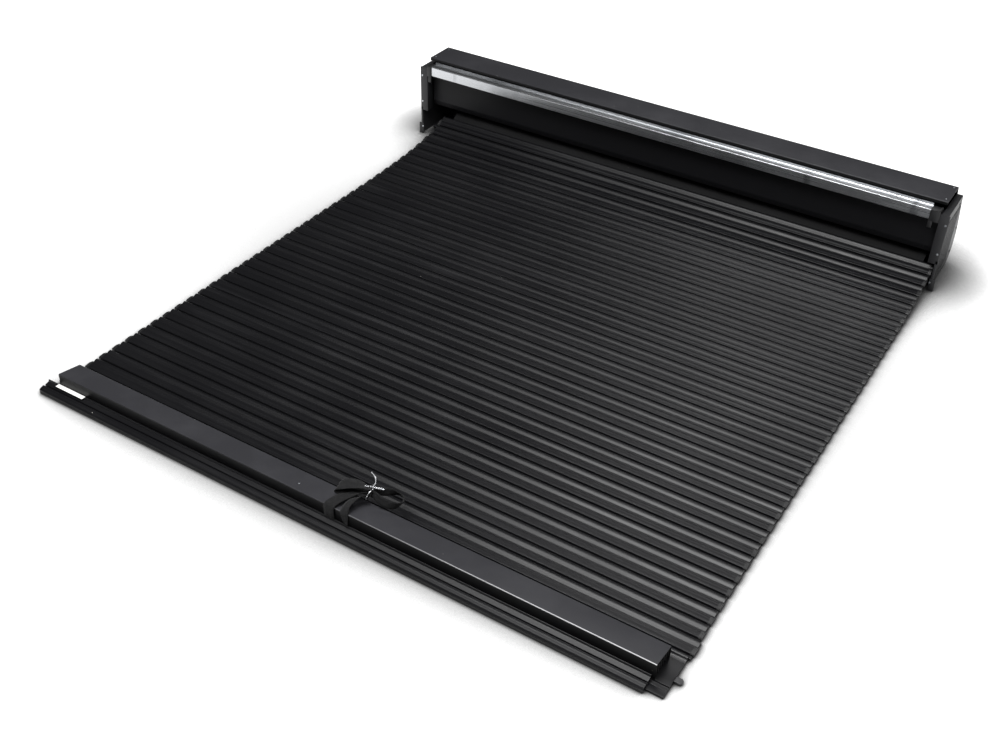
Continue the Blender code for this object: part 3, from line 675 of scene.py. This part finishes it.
# ---- end plates ----
# Pressed steel end plates close the canister. Each has its rim turned in, a flange and a foot that
# the side rail bolts to, and upright stiffening beads pressed into its outer face.
PLATE_BLACK = "#1D1D1F"
PLATE_SKIN = 0.003
PAN_BACK = 0.7915          # how far in the plate's turned rim reaches
plate_coat = moulded("black textured end plate coat", PLATE_BLACK, 0.46, 0.0016)
PLATE_OUTER, FLANGE_OUT, FLANGE_IN = 0.809, 0.8125, 0.7875
FRONT_Y, PLATE_TOP, MOUTH_Z, MOUTH_DEPTH = 1.576, 0.222, 0.080, 0.054
RIM_WALL, RIM_ROUND = 0.0025, 0.0015
BEAD_COUNT, BEAD_STEP, BEAD_SIZE = 11, 0.0112, (0.0030, 0.0045, 0.165)
rim = [(FRONT_Y, 0.0035), (1.7225, 0.0035), *reversed(arc(1.7215, 0.046, 0.0405, 8, -70, 12)),
       (1.7625, 0.085), (1.7555, 0.110), (1.7080, PLATE_TOP), (FRONT_Y, PLATE_TOP)]


def pan_mesh(name, side):
    """A dished plate: its skin outside, a turned-in rim, and the mouth left open at the front."""
    bm = bmesh.new()
    outline = [(y + FRONT, z) for y, z in rim]
    bm.faces.new([bm.verts.new((PLATE_OUTER, y, z)) for y, z in outline])
    grown = bmesh.ops.extrude_face_region(bm, geom=bm.faces[:])
    verts = [v for v in grown["geom"] if isinstance(v, bmesh.types.BMVert)]
    bmesh.ops.translate(bm, verts=verts, vec=(PAN_BACK - PLATE_OUTER, 0, 0))
    inner = [f for f in bm.faces if all(abs(v.co.x - PAN_BACK) < 1e-6 for v in f.verts)]
    bmesh.ops.inset_individual(bm, faces=inner, thickness=RIM_WALL)
    bmesh.ops.translate(bm, verts=inner[0].verts[:], vec=(PLATE_OUTER - PLATE_SKIN - PAN_BACK, 0, 0))
    edges = [e for e in bm.edges if all(abs(v.co.x - PLATE_OUTER) < 1e-6 for v in e.verts)]
    bmesh.ops.recalc_face_normals(bm, faces=bm.faces[:])
    bmesh.ops.bevel(bm, geom=edges, offset=RIM_ROUND, segments=3, affect="EDGES", profile=0.5)
    if side < 0:
        bmesh.ops.scale(bm, verts=bm.verts[:], vec=(-1, 1, 1))
        bmesh.ops.reverse_faces(bm, faces=bm.faces[:])
    mesh = bpy.data.meshes.new(name)
    bm.to_mesh(mesh)
    bm.free()
    mesh.materials.append(plate_coat)
    return link(name, mesh)


def block(name, x0, x1, y0, y1, z0, z1, material, edge=0.0006):
    """A small block with rounded edges."""
    bm = bmesh.new()
    bmesh.ops.create_cube(bm, size=1.0)
    bmesh.ops.scale(bm, verts=bm.verts[:], vec=(x1 - x0, y1 - y0, z1 - z0))
    bmesh.ops.translate(bm, verts=bm.verts[:], vec=((x0 + x1) / 2, (y0 + y1) / 2 + FRONT, (z0 + z1) / 2))
    if edge:
        bmesh.ops.bevel(bm, geom=bm.edges[:], offset=edge, segments=2, affect="EDGES", profile=0.5)
    mesh = bpy.data.meshes.new(name)
    bm.to_mesh(mesh)
    bm.free()
    mesh.materials.append(material)
    return link(name, mesh)


def joined(name, pieces):
    """Several pieces as one plain mesh, with its creases kept."""
    bm = bmesh.new()
    for piece in pieces:
        bm.from_mesh(piece.data)
    mesh = bpy.data.meshes.new(name)
    bm.to_mesh(mesh)
    bm.free()
    mesh.materials.append(pieces[0].data.materials[0])
    for piece in pieces:
        bpy.data.objects.remove(piece, do_unlink=True)
    mesh.shade_smooth()
    mesh.set_sharp_from_angle(angle=math.radians(30))
    return link(name, mesh)


for side, word in ((1, "right"), (-1, "left")):
    pan = pan_mesh(f"end_pan_{word}", side)
    cutter = block("mouth_cutter", *sorted((side * 0.70, side * (PLATE_OUTER - PLATE_SKIN))),
                   FRONT_Y - 0.01, FRONT_Y + MOUTH_DEPTH, -0.01, MOUTH_Z, plate_coat, 0)
    cut = pan.modifiers.new("mouth", "BOOLEAN")
    cut.operation = "DIFFERENCE"
    cut.object = cutter
    settle(pan, 30)
    bpy.data.objects.remove(cutter, do_unlink=True)
    parts = [pan]
    for x0, x1, y0, y1, z0, z1 in (
            (FLANGE_IN, FLANGE_OUT, FRONT_Y - 0.0005, FRONT_Y + 0.002, MOUTH_Z, PLATE_TOP - 0.0005),
            (0.806, FLANGE_OUT, FRONT_Y - 0.0005, FRONT_Y + 0.002, 0.020, MOUTH_Z + 0.01),
            (0.804, 0.8197, FRONT_Y - 0.001, FRONT_Y + 0.0025, 0.0, 0.034),
            (FLANGE_IN, FLANGE_IN + 0.002, FRONT_Y + 0.001, WALL_Y - 0.0025, MOUTH_Z, PLATE_TOP)):
        x0, x1 = sorted((side * x0, side * x1))
        parts.append(block("part", x0, x1, y0, y1, z0, z1, plate_coat))
    plate = joined(f"end_plate_{word}_pressing", parts)
    ride_as(plate, "root", "end_casting", f"end_plate_{word}")
    beads = grow(f"end_plate_{word}_beads", bpy.data.meshes.new("beads"), rib_row, Count=BEAD_COUNT,
                 First=(side * PLATE_OUTER, FRONT + FRONT_Y + 0.014, 0.112),
                 Step=(0.0, BEAD_STEP, 0.0), Size=BEAD_SIZE, Finish=plate_coat)
    ride_as(beads, "root", "end_casting")

# ---- corner blocks ----
# Moulded nylon blocks close the ends of the trim channel, each with a tab that hangs in front of the
# flange and a lug behind it.
for word, side in (("right", 1), ("left", -1)):
    low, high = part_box(f"corner_block_{word}")
    y0, y1, z0, z1 = low.y - FRONT, high.y - FRONT, low.z, high.z
    inner, outer = (low.x, high.x) if side > 0 else (high.x, low.x)
    tab = sorted((inner, inner + side * 0.011))
    parts = [block("part", low.x, high.x, y0, y0 + 0.0042, 0.196, z1, nylon, 0.0012),
             block("part", *tab, y0 + 0.0002, y0 + 0.0038, z0 - 0.012, 0.199, nylon, 0.0010),
             block("part", low.x, high.x, y0 + 0.003, y1, z1 - 0.007, z1, nylon, 0.0010),
             block("part", *sorted((outer, outer - side * 0.004)), y0 + 0.002, y1 - 0.003, 0.2225,
                   z1 + 0.003, nylon, 0.0010)]
    blocks = joined(f"corner_block_{word}_moulding", parts)
    ride_as(blocks, "root", "black_plastic", f"corner_block_{word}")

# ---- roller ----
# Inside the canister a steel tube turns on nylon plugs round a fixed shaft, wound by a torsion
# spring, and a webbing leader ties it to the last slat.
dress("roller_tube", zinc, 0)
dress("spring_shaft", zinc, 0)
dress("torsion_spring", zinc, 0)
for node in ("roller_plug_left", "roller_plug_right", "bearing_left", "bearing_right"):
    dress(node, nylon)


YARN_FUZZ = "#262627"
BAND_TO_WAVE = 0.314        # a wave texture's scale for bands one metre apart


def woven(name, colour, light, pitch):
    """Webbing: crossed yarns on the piece's own map, u along it and v across, in metres."""
    material, tree, shader = new_material(name, Metallic=0.0, Sheen_Weight=0.06, Sheen_Roughness=0.4,
                                          Specular_IOR_Level=0.3)
    along = add(tree, "ShaderNodeUVMap", uv_map="cloth")
    weft = add(tree, "ShaderNodeTexWave", {"Vector": along, "Scale": BAND_TO_WAVE / pitch,
                                           "Distortion": 0.4, "Detail": 1.0},
               wave_type="BANDS", bands_direction="X").outputs["Fac"]
    warp = add(tree, "ShaderNodeTexWave", {"Vector": along, "Scale": BAND_TO_WAVE / (pitch * 1.3),
                                           "Distortion": 0.3, "Detail": 1.0},
               wave_type="BANDS", bands_direction="Y").outputs["Fac"]
    height = add(tree, "ShaderNodeMath", {0: weft, 1: warp}, operation="MULTIPLY")
    place = add(tree, "ShaderNodeTexCoord").outputs["Object"]
    fuzz = add(tree, "ShaderNodeTexNoise", {"Vector": place, "Scale": 140.0, "Detail": 4.0})
    shade = add(tree, "ShaderNodeMapRange", {"Value": height, "To Max": 0.7})
    worn = add(tree, "ShaderNodeMix", {0: shade, 6: linear(colour), 7: linear(light)},
               data_type="RGBA").outputs[2]
    fuzzy = add(tree, "ShaderNodeMapRange", {"Value": fuzz, "From Min": 0.5, "From Max": 0.8,
                                             "To Max": 0.5})
    base = add(tree, "ShaderNodeMix", {0: fuzzy, 6: worn, 7: linear(YARN_FUZZ)}, data_type="RGBA")
    gloss = add(tree, "ShaderNodeMapRange", {"Value": height, "To Min": 0.9, "To Max": 0.62})
    finish_surface(tree, shader, base, gloss, height, 0.0005, 0.8)
    return material


webbing = woven("black polyester webbing", "#09090A", "#1B1B1D", 0.0016)
# This coat paints the leader's upright faces near black as shade, like every powder coat here.
leader_cloth = powder_coat("black leader band", "#101011", "#1A1A1B", 0.7)
dress("leader_band", leader_cloth, 0)

# ---- pull strap ----
# A length of 25 mm polyester webbing, folded back and forth into a hank that lies over the beam. Two
# runs drop through the beam's front slot to the latch, and the other end is a round hand loop.
STRAP_WIDTH, STRAP_THICK = 0.025, 0.0017


def ribbon(name, route, width=STRAP_WIDTH, thickness=STRAP_THICK, steps=8, narrow=None):
    """Webbing swept along a route of (x, y, z, side x, side y, side z), with y from the front edge."""
    curve = spline([(*p, w) for p, w in zip(route, narrow or [1.0] * len(route))], steps)
    bm = bmesh.new()
    cloth = bm.loops.layers.uv.new("cloth")
    half = thickness / 2
    rings, reach = [], [0.0]
    section = [(-0.5, 0.4), (-0.485, 1.0), (-0.2, 1.0), (0.2, 1.0), (0.485, 1.0), (0.5, 0.4),
               (0.5, -0.4), (0.485, -1.0), (0.2, -1.0), (-0.2, -1.0), (-0.485, -1.0), (-0.5, -0.4)]
    for i, point in enumerate(curve):
        here = Vector(point[:3])
        ahead = Vector(curve[min(i + 1, len(curve) - 1)][:3])
        behind = Vector(curve[max(i - 1, 0)][:3])
        along = (ahead - behind).normalized()
        across = Vector(point[3:6])
        across = (across - along * across.dot(along)).normalized()
        up = along.cross(across)
        here.y += FRONT
        rings.append([bm.verts.new(here + across * u * width * point[6] + up * v * half)
                      for u, v in section])
        if i:
            reach.append(reach[-1] + (here - last).length)
        last = here
    for k, (a, b) in enumerate(zip(rings, rings[1:])):
        for i in range(len(section)):
            j = (i + 1) % len(section)
            face = bm.faces.new((a[i], a[j], b[j], b[i]))
            face.smooth = True
            for loop, u, v in zip(face.loops, (reach[k], reach[k], reach[k + 1], reach[k + 1]),
                                  (i, j, j, i)):
                loop[cloth].uv = (u, section[v][0] * width)
    for ring in (rings[0], rings[-1]):
        end = bm.faces.new(ring)
        for loop in end.loops:
            loop[cloth].uv = (0.0, 0.0)
    bmesh.ops.recalc_face_normals(bm, faces=bm.faces[:])
    mesh = bpy.data.meshes.new(name)
    bm.to_mesh(mesh)
    bm.free()
    mesh.materials.append(webbing)
    return link(name, mesh)


left_drop = ribbon("strap_left_run", [
    (0.0470, 0.0300, 0.0225, 1, 0, 0), (0.0470, 0.0296, 0.036, 1, 0, 0.05),
    (0.0470, 0.0310, 0.0500, 1, 0.05, 0), (0.0500, 0.0410, 0.0560, 1, -0.25, 0),
    (0.0570, 0.0600, 0.0570, 0.9, -0.4, 0.1), (0.0700, 0.0780, 0.0575, 0.6, -0.7, 0.3),
    (0.0880, 0.0900, 0.0600, 0.3, -0.6, 0.8), (0.1060, 0.0970, 0.0620, 0.2, -0.5, 0.9)],
    narrow=[1, 1, 1, 1, 1, 0.9, 0.7, 0.6])
right_drop = ribbon("strap_right_run", [
    (0.0895, 0.0292, 0.0225, 0.6, -0.3, 0), (0.0885, 0.0290, 0.0360, 0.65, 0.15, 0),
    (0.0855, 0.0312, 0.0510, 0.75, 0.2, 0), (0.0830, 0.0420, 0.0600, 0.8, -0.4, 0.3),
    (0.0850, 0.0590, 0.0640, 0.7, -0.5, 0.4), (0.0930, 0.0770, 0.0640, 0.5, -0.5, 0.7),
    (0.1060, 0.0920, 0.0620, 0.3, -0.4, 0.9)], narrow=[0.4, 0.5, 0.7, 0.95, 0.9, 0.75, 0.6])
hank = ribbon("strap_hank", [
    (0.1080, 0.0960, 0.0665, 0.2, -0.4, 0.9), (0.0930, 0.0970, 0.0690, 0.3, -0.7, 0.6),
    (0.0760, 0.0970, 0.0700, 0.3, -0.9, 0.3), (0.0570, 0.0930, 0.0690, 0.25, -0.95, 0.1),
    (0.0400, 0.0840, 0.0650, 0.2, -1, 0), (0.0330, 0.0780, 0.0590, 0.2, -1, 0),
    (0.0390, 0.0820, 0.0545, 0.2, -1, 0), (0.0550, 0.0910, 0.0535, 0.3, -0.9, 0.0),
    (0.0770, 0.0980, 0.0540, 0.4, -0.8, 0.2), (0.0950, 0.0990, 0.0580, 0.2, -0.5, 0.8),
    (0.1080, 0.1000, 0.0620, 0.2, -0.4, 0.9)],
    narrow=[0.6, 0.9, 1.25, 1.35, 1.3, 1.2, 1.2, 1.2, 1, 0.8, 0.6])
loop_piece = ribbon("strap_hand_loop", [
    (0.0960, 0.0960, 0.0640, 0.1, 0.2, 1), (0.1120, 0.0960, 0.0630, 0.0, 0.3, 1),
    (0.1270, 0.0940, 0.0590, 0.1, 0.4, 1), (0.1440, 0.0960, 0.0550, 0.2, 0.45, 1),
    (0.1590, 0.1050, 0.0520, 0.5, 0.3, 1), (0.1640, 0.1180, 0.0510, 0.6, 0.0, 1),
    (0.1570, 0.1310, 0.0510, 0.4, -0.4, 1), (0.1430, 0.1360, 0.0520, 0.0, -0.5, 1),
    (0.1290, 0.1290, 0.0550, -0.3, -0.3, 1), (0.1190, 0.1150, 0.0600, -0.2, -0.2, 1),
    (0.1060, 0.1030, 0.0640, 0.0, -0.2, 1)],
    narrow=[0.6, 0.7, 0.8, 0.8, 0.75, 0.72, 0.72, 0.75, 0.75, 0.7, 0.6])
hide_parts("pull_strap")
for piece in (left_drop, right_drop, hank, loop_piece):
    ride_as(piece, "bar", "strap_webbing")

# ---- wire tie ----
# Two bright wires twisted round the neck of the hank, with a curled tail standing up.
WIRE_R, TAIL_R = 0.0012, 0.0011
TWISTS, TWIST_R = 5, 0.0011


def wire(name, route, radius, material, turns=0, spread_out=0.0):
    """A round wire on a smooth route of (x, y from the front edge, z), or a twisted pair of them."""
    path = spline(route, 10)
    strands = 2 if turns else 1
    parts = []
    for strand in range(strands):
        curve = bpy.data.curves.new(name, "CURVE")
        curve.dimensions = "3D"
        curve.bevel_depth = radius
        curve.bevel_resolution = 3
        curve.use_fill_caps = True
        line = curve.splines.new("POLY")
        line.points.add(len(path) - 1)
        for i, point in enumerate(path):
            angle = 2 * math.pi * turns * i / (len(path) - 1) + math.pi * strand
            wobble = Vector((0.3 * math.cos(angle), math.cos(angle), math.sin(angle))) * spread_out
            line.points[i].co = (point.x + wobble.x, point.y + wobble.y + FRONT, point.z + wobble.z, 1)
        strand_piece = link(f"{name}_{strand}", curve)
        graph = bpy.context.evaluated_depsgraph_get()
        mesh = bpy.data.meshes.new_from_object(strand_piece.evaluated_get(graph))
        bpy.data.objects.remove(strand_piece, do_unlink=True)
        mesh.materials.clear()
        mesh.materials.append(material)
        parts.append(link(f"{name}_{strand}", mesh))
    return joined(name, parts)


tie_wire = worn_steel("bright tie wire", "#F2F3F5", "#CDD0D4", 0.22, 1.0)
ring_route = [(0.1030 + 0.004 * math.sin(a), 0.0950 + 0.0150 * math.cos(a), 0.0630 + 0.0125 * math.sin(a))
              for a in [2 * math.pi * k / 12 for k in range(13)]]
tie = wire("wire_tie_turn", ring_route, WIRE_R, tie_wire)
twist = wire("wire_tie_twist", [
    (0.0890, 0.0960, 0.0765), (0.1010, 0.1000, 0.0780), (0.1140, 0.1050, 0.0765),
    (0.1260, 0.1100, 0.0745)], WIRE_R, tie_wire, TWISTS, TWIST_R)
tail = wire("wire_tie_tail", [
    (0.1030, 0.1000, 0.0775), (0.1070, 0.1040, 0.0830), (0.1080, 0.1080, 0.0910),
    (0.1030, 0.1110, 0.0990), (0.0950, 0.1120, 0.1055)], TAIL_R, tie_wire)
for piece in (tie, twist, tail):
    ride_as(piece, "bar", "tie_wire", *(["strap_tie"] if piece is tie else []))

# ---- screws and rivets ----
# Pan-head screws hold the flanges, the housing's top corners and the end plates, and a blind rivet holds
# the beam to the base plate. They are small turned heads with a dished drive, zinc plated or blackened.
SCREW_R, SCREW_HEIGHT = 0.0036, 0.0016


def screw_head():
    """A pan head about Z, spun from its half section."""
    bm = bmesh.new()
    shares = [(1.0, 0.0), (1.0, 0.4), (0.86, 0.85), (0.55, 1.0), (0.42, 0.97), (0.30, 0.45), (0.0, 0.40)]
    verts = [bm.verts.new((out * SCREW_R, 0, up * SCREW_HEIGHT)) for out, up in shares]
    edges = [bm.edges.new(pair) for pair in zip(verts, verts[1:])]
    bmesh.ops.spin(bm, geom=verts + edges, cent=(0, 0, 0), axis=(0, 0, 1), angle=2 * math.pi, steps=16,
                   use_merge=True)
    bmesh.ops.remove_doubles(bm, verts=bm.verts[:], dist=0.000001)
    rim_edges = [e for e in bm.edges if e.is_boundary]
    bmesh.ops.contextual_create(bm, geom=rim_edges)
    bmesh.ops.recalc_face_normals(bm, faces=bm.faces[:])
    mesh = bpy.data.meshes.new("screw head")
    bm.to_mesh(mesh)
    bm.free()
    return link("screw_head_pattern", mesh)


def screw_nodes():
    """Nodes that set a head on every point, standing along the point's own direction."""
    tree, given = new_group("set screws", Points="Geometry", Head="Object", Size="Float",
                            Finish="Material")
    head = add(tree, "GeometryNodeObjectInfo", {"Object": given["Head"]})
    way = add(tree, "GeometryNodeInputNamedAttribute", {"Name": "way"}, data_type="FLOAT_VECTOR")
    stand = add(tree, "FunctionNodeAlignRotationToVector", {"Vector": way}, axis="Z")
    heads = add(tree, "GeometryNodeInstanceOnPoints", {"Points": given["Points"],
                                                       "Instance": head.outputs["Geometry"],
                                                       "Rotation": stand, "Scale": given["Size"]})
    return end_group(tree, heads, given["Finish"])


pattern = screw_head()
set_screws = screw_nodes()


def screws(name, body, places, way, size, material, slot):
    """Heads at places of (x, y from the front edge, z), all standing one way."""
    mesh = bpy.data.meshes.new(name)
    mesh.from_pydata([(x, y + FRONT, z) for x, y, z in places], [], [])
    ways = mesh.attributes.new("way", "FLOAT_VECTOR", "POINT")
    ways.data.foreach_set("vector", [c for _ in places for c in way])
    piece = grow(name, mesh, set_screws, Head=pattern, Size=size, Finish=material)
    return ride_as(piece, body, slot)


flange_heights = (0.024, 0.109, 0.194)
for side, word in ((1, "right"), (-1, "left")):
    screws(f"flange_screws_{word}", "root", [(side * 0.806, FRONT_Y - 0.0006, z) for z in flange_heights],
           (0, -1, 0), 0.85, zinc, "plated_steel")
    screws(f"housing_screws_{word}", "root", [(side * 0.7835, 1.6174, TOP_Z - 0.0004),
                                               (side * 0.7835, 1.690, TOP_Z - 0.0004)],
           (0, 0, 1), 0.7, zinc, "plated_steel")
    screws(f"plate_screws_{word}", "root",
           [(side * PLATE_OUTER, y, z) for y, z in ((1.585, 0.205), (1.585, 0.150), (1.585, 0.095),
                                                    (1.690, 0.205), (1.740, 0.110), (1.735, 0.040),
                                                    (1.650, 0.016))],
           (side, 0, 0), 1.0, black_steel, "black_steel")
RIVET_X, RIVET_Y = -0.048, 0.053
rivet_z = BEAM_TOP - (BEAM_TOP - BEAM_REAR_TOP) * (RIVET_Y - BEAM_FRONT) / (BEAM_REAR - BEAM_FRONT)
screws("beam_rivet", "bar", [(RIVET_X, RIVET_Y, rivet_z)],
       (0, (BEAM_TOP - BEAM_REAR_TOP) / (BEAM_REAR - BEAM_FRONT), 1), 0.7, zinc, "plated_steel")
bpy.data.objects.remove(pattern, do_unlink=True)

# ---- label ----
# A blank white paper sticker, matt and faintly fibrous, that lies on the front rail's lip near the left
# end of the bar.
label_paper, label_tree, label_shader = new_material("blank label paper", Roughness=0.55)
label_place = add(label_tree, "ShaderNodeTexCoord").outputs["Object"]
fibre = add(label_tree, "ShaderNodeTexNoise", {"Vector": label_place, "Scale": 300.0, "Detail": 4.0})
label_white = add(label_tree, "ShaderNodeMix", {0: fibre, 6: linear("#E9E9E6"), 7: linear("#F8F8F6")},
                  data_type="RGBA")
label_tree.links.new(label_white.outputs[2], label_shader.inputs["Base Color"])
label_bump = add(label_tree, "ShaderNodeBump", {"Height": fibre, "Distance": 0.00003, "Strength": 0.5})
label_tree.links.new(label_bump.outputs[0], label_shader.inputs["Normal"])
label = block("blank_label", -0.732, -0.648, 0.0212, 0.0318, 0.0206, 0.0209, label_paper, 0)
ride_as(label, "bar", "black_plastic")

# ---- studio ----
# A pale sweep of paper under soft, wide lights. The paper carries a painted glow that rises toward its
# edges, and a painted contact shadow from an ambient occlusion node darkens it near the cover. The camera
# looks from the front right, above the bar's corner.
floor_mesh = bpy.data.meshes.new("studio_floor")
floor_mesh.from_pydata([(-9, -9, -0.0005), (9, -9, -0.0005), (9, 9, -0.0005), (-9, 9, -0.0005)], [],
                       [(0, 1, 2, 3)])
floor_paper, floor_tree, floor_shader = new_material("white studio paper", Roughness=0.9)
CONTACT_REACH = 0.18        # how far from the cover the painted contact shadow reaches
floor_place = add(floor_tree, "ShaderNodeTexCoord").outputs["Object"]
paper = add(floor_tree, "ShaderNodeTexNoise", {"Vector": floor_place, "Scale": 2.0, "Detail": 2.0})
contact = add(floor_tree, "ShaderNodeAmbientOcclusion", {"Distance": CONTACT_REACH}, samples=8).outputs["AO"]
shaded = add(floor_tree, "ShaderNodeMath", {0: contact, 1: 4.0}, operation="POWER")
open_paper = add(floor_tree, "ShaderNodeMix", {0: paper, 6: linear("#C6C6C6"), 7: linear("#CBCBCB")},
                 data_type="RGBA").outputs[2]
# Painted contact shadow: the paper goes toward near black where the cover occludes it.
floor_paper_painted_shadow = add(floor_tree, "ShaderNodeMix", {0: shaded, 6: linear("#1A1A1A"), 7: open_paper},
                  data_type="RGBA")
floor_tree.links.new(floor_paper_painted_shadow.outputs[2], floor_shader.inputs["Base Color"])
away = add(floor_tree, "ShaderNodeVectorMath", {0: floor_place}, operation="LENGTH").outputs["Value"]
# Painted glow: the paper emits more the farther it lies from the centre, though it is no lamp.
painted_edge_glow = add(floor_tree, "ShaderNodeMapRange", {"Value": away, "From Min": 0.7, "From Max": 1.5,
                                                    "To Max": 0.9})
glow = add(floor_tree, "ShaderNodeMath", {0: painted_edge_glow, 1: shaded}, operation="MULTIPLY")
floor_shader.inputs["Emission Color"].default_value = linear("#FFFFFF")
floor_tree.links.new(glow.outputs[0], floor_shader.inputs["Emission Strength"])
floor_mesh.materials.append(floor_paper)
link("studio_floor", floor_mesh)

CAMERA_PLACE, CAMERA_LENS = (1.2341, -2.1729, 1.7270), 43.5
CAMERA_YAW, CAMERA_DOWN, CAMERA_ROLL = math.radians(31.13), math.radians(37.44), math.radians(1.63)
camera_data = bpy.data.cameras.new("camera")
camera_data.lens, camera_data.sensor_width = CAMERA_LENS, 36.0
camera = link("camera", camera_data)
ahead = Vector((-math.sin(CAMERA_YAW) * math.cos(CAMERA_DOWN),
                math.cos(CAMERA_YAW) * math.cos(CAMERA_DOWN), -math.sin(CAMERA_DOWN)))
level = ahead.cross(Vector((0, 0, 1))).normalized()
above = level.cross(ahead)
right_way = level * math.cos(CAMERA_ROLL) + above * math.sin(CAMERA_ROLL)
up_way = above * math.cos(CAMERA_ROLL) - level * math.sin(CAMERA_ROLL)
turn = Matrix((right_way, up_way, -ahead)).transposed().to_4x4()
camera.matrix_world = Matrix.Translation(CAMERA_PLACE) @ turn
bpy.context.scene.camera = camera

WORLD_LIGHT = 0.05
world = bpy.data.worlds.new("studio")
world.use_nodes = True
world.node_tree.nodes["Background"].inputs[0].default_value = (1.0, 1.0, 1.0, 1.0)
world.node_tree.nodes["Background"].inputs[1].default_value = WORLD_LIGHT
bpy.context.scene.world = world
bpy.context.scene.view_settings.view_transform = "Standard"


def soft_light(name, place, target, width, height, power):
    data = bpy.data.lights.new(name, "AREA")
    data.shape = "RECTANGLE"
    data.size, data.size_y, data.energy = width, height, power
    lamp = link(name, data)
    way = (Vector(target) - Vector(place)).to_track_quat("-Z", "Y")
    lamp.matrix_world = Matrix.Translation(place) @ way.to_matrix().to_4x4()


soft_light("overhead", (0.2, -1.4, 4.2), (0.0, 0.0, 0.0), 4.0, 4.0, 230)
soft_light("bead_key", (-0.1, -1.3, 3.2), (0.4, -0.5, 0.0), 1.1, 1.1, 60)
soft_light("back_high", (-0.3, 2.6, 3.3), (0.5, -0.4, 0.0), 1.5, 1.3, 28)
soft_light("right_side", (4.2, 0.6, 2.2), (0.2, 0.2, 0.0), 2.0, 2.0, 40)
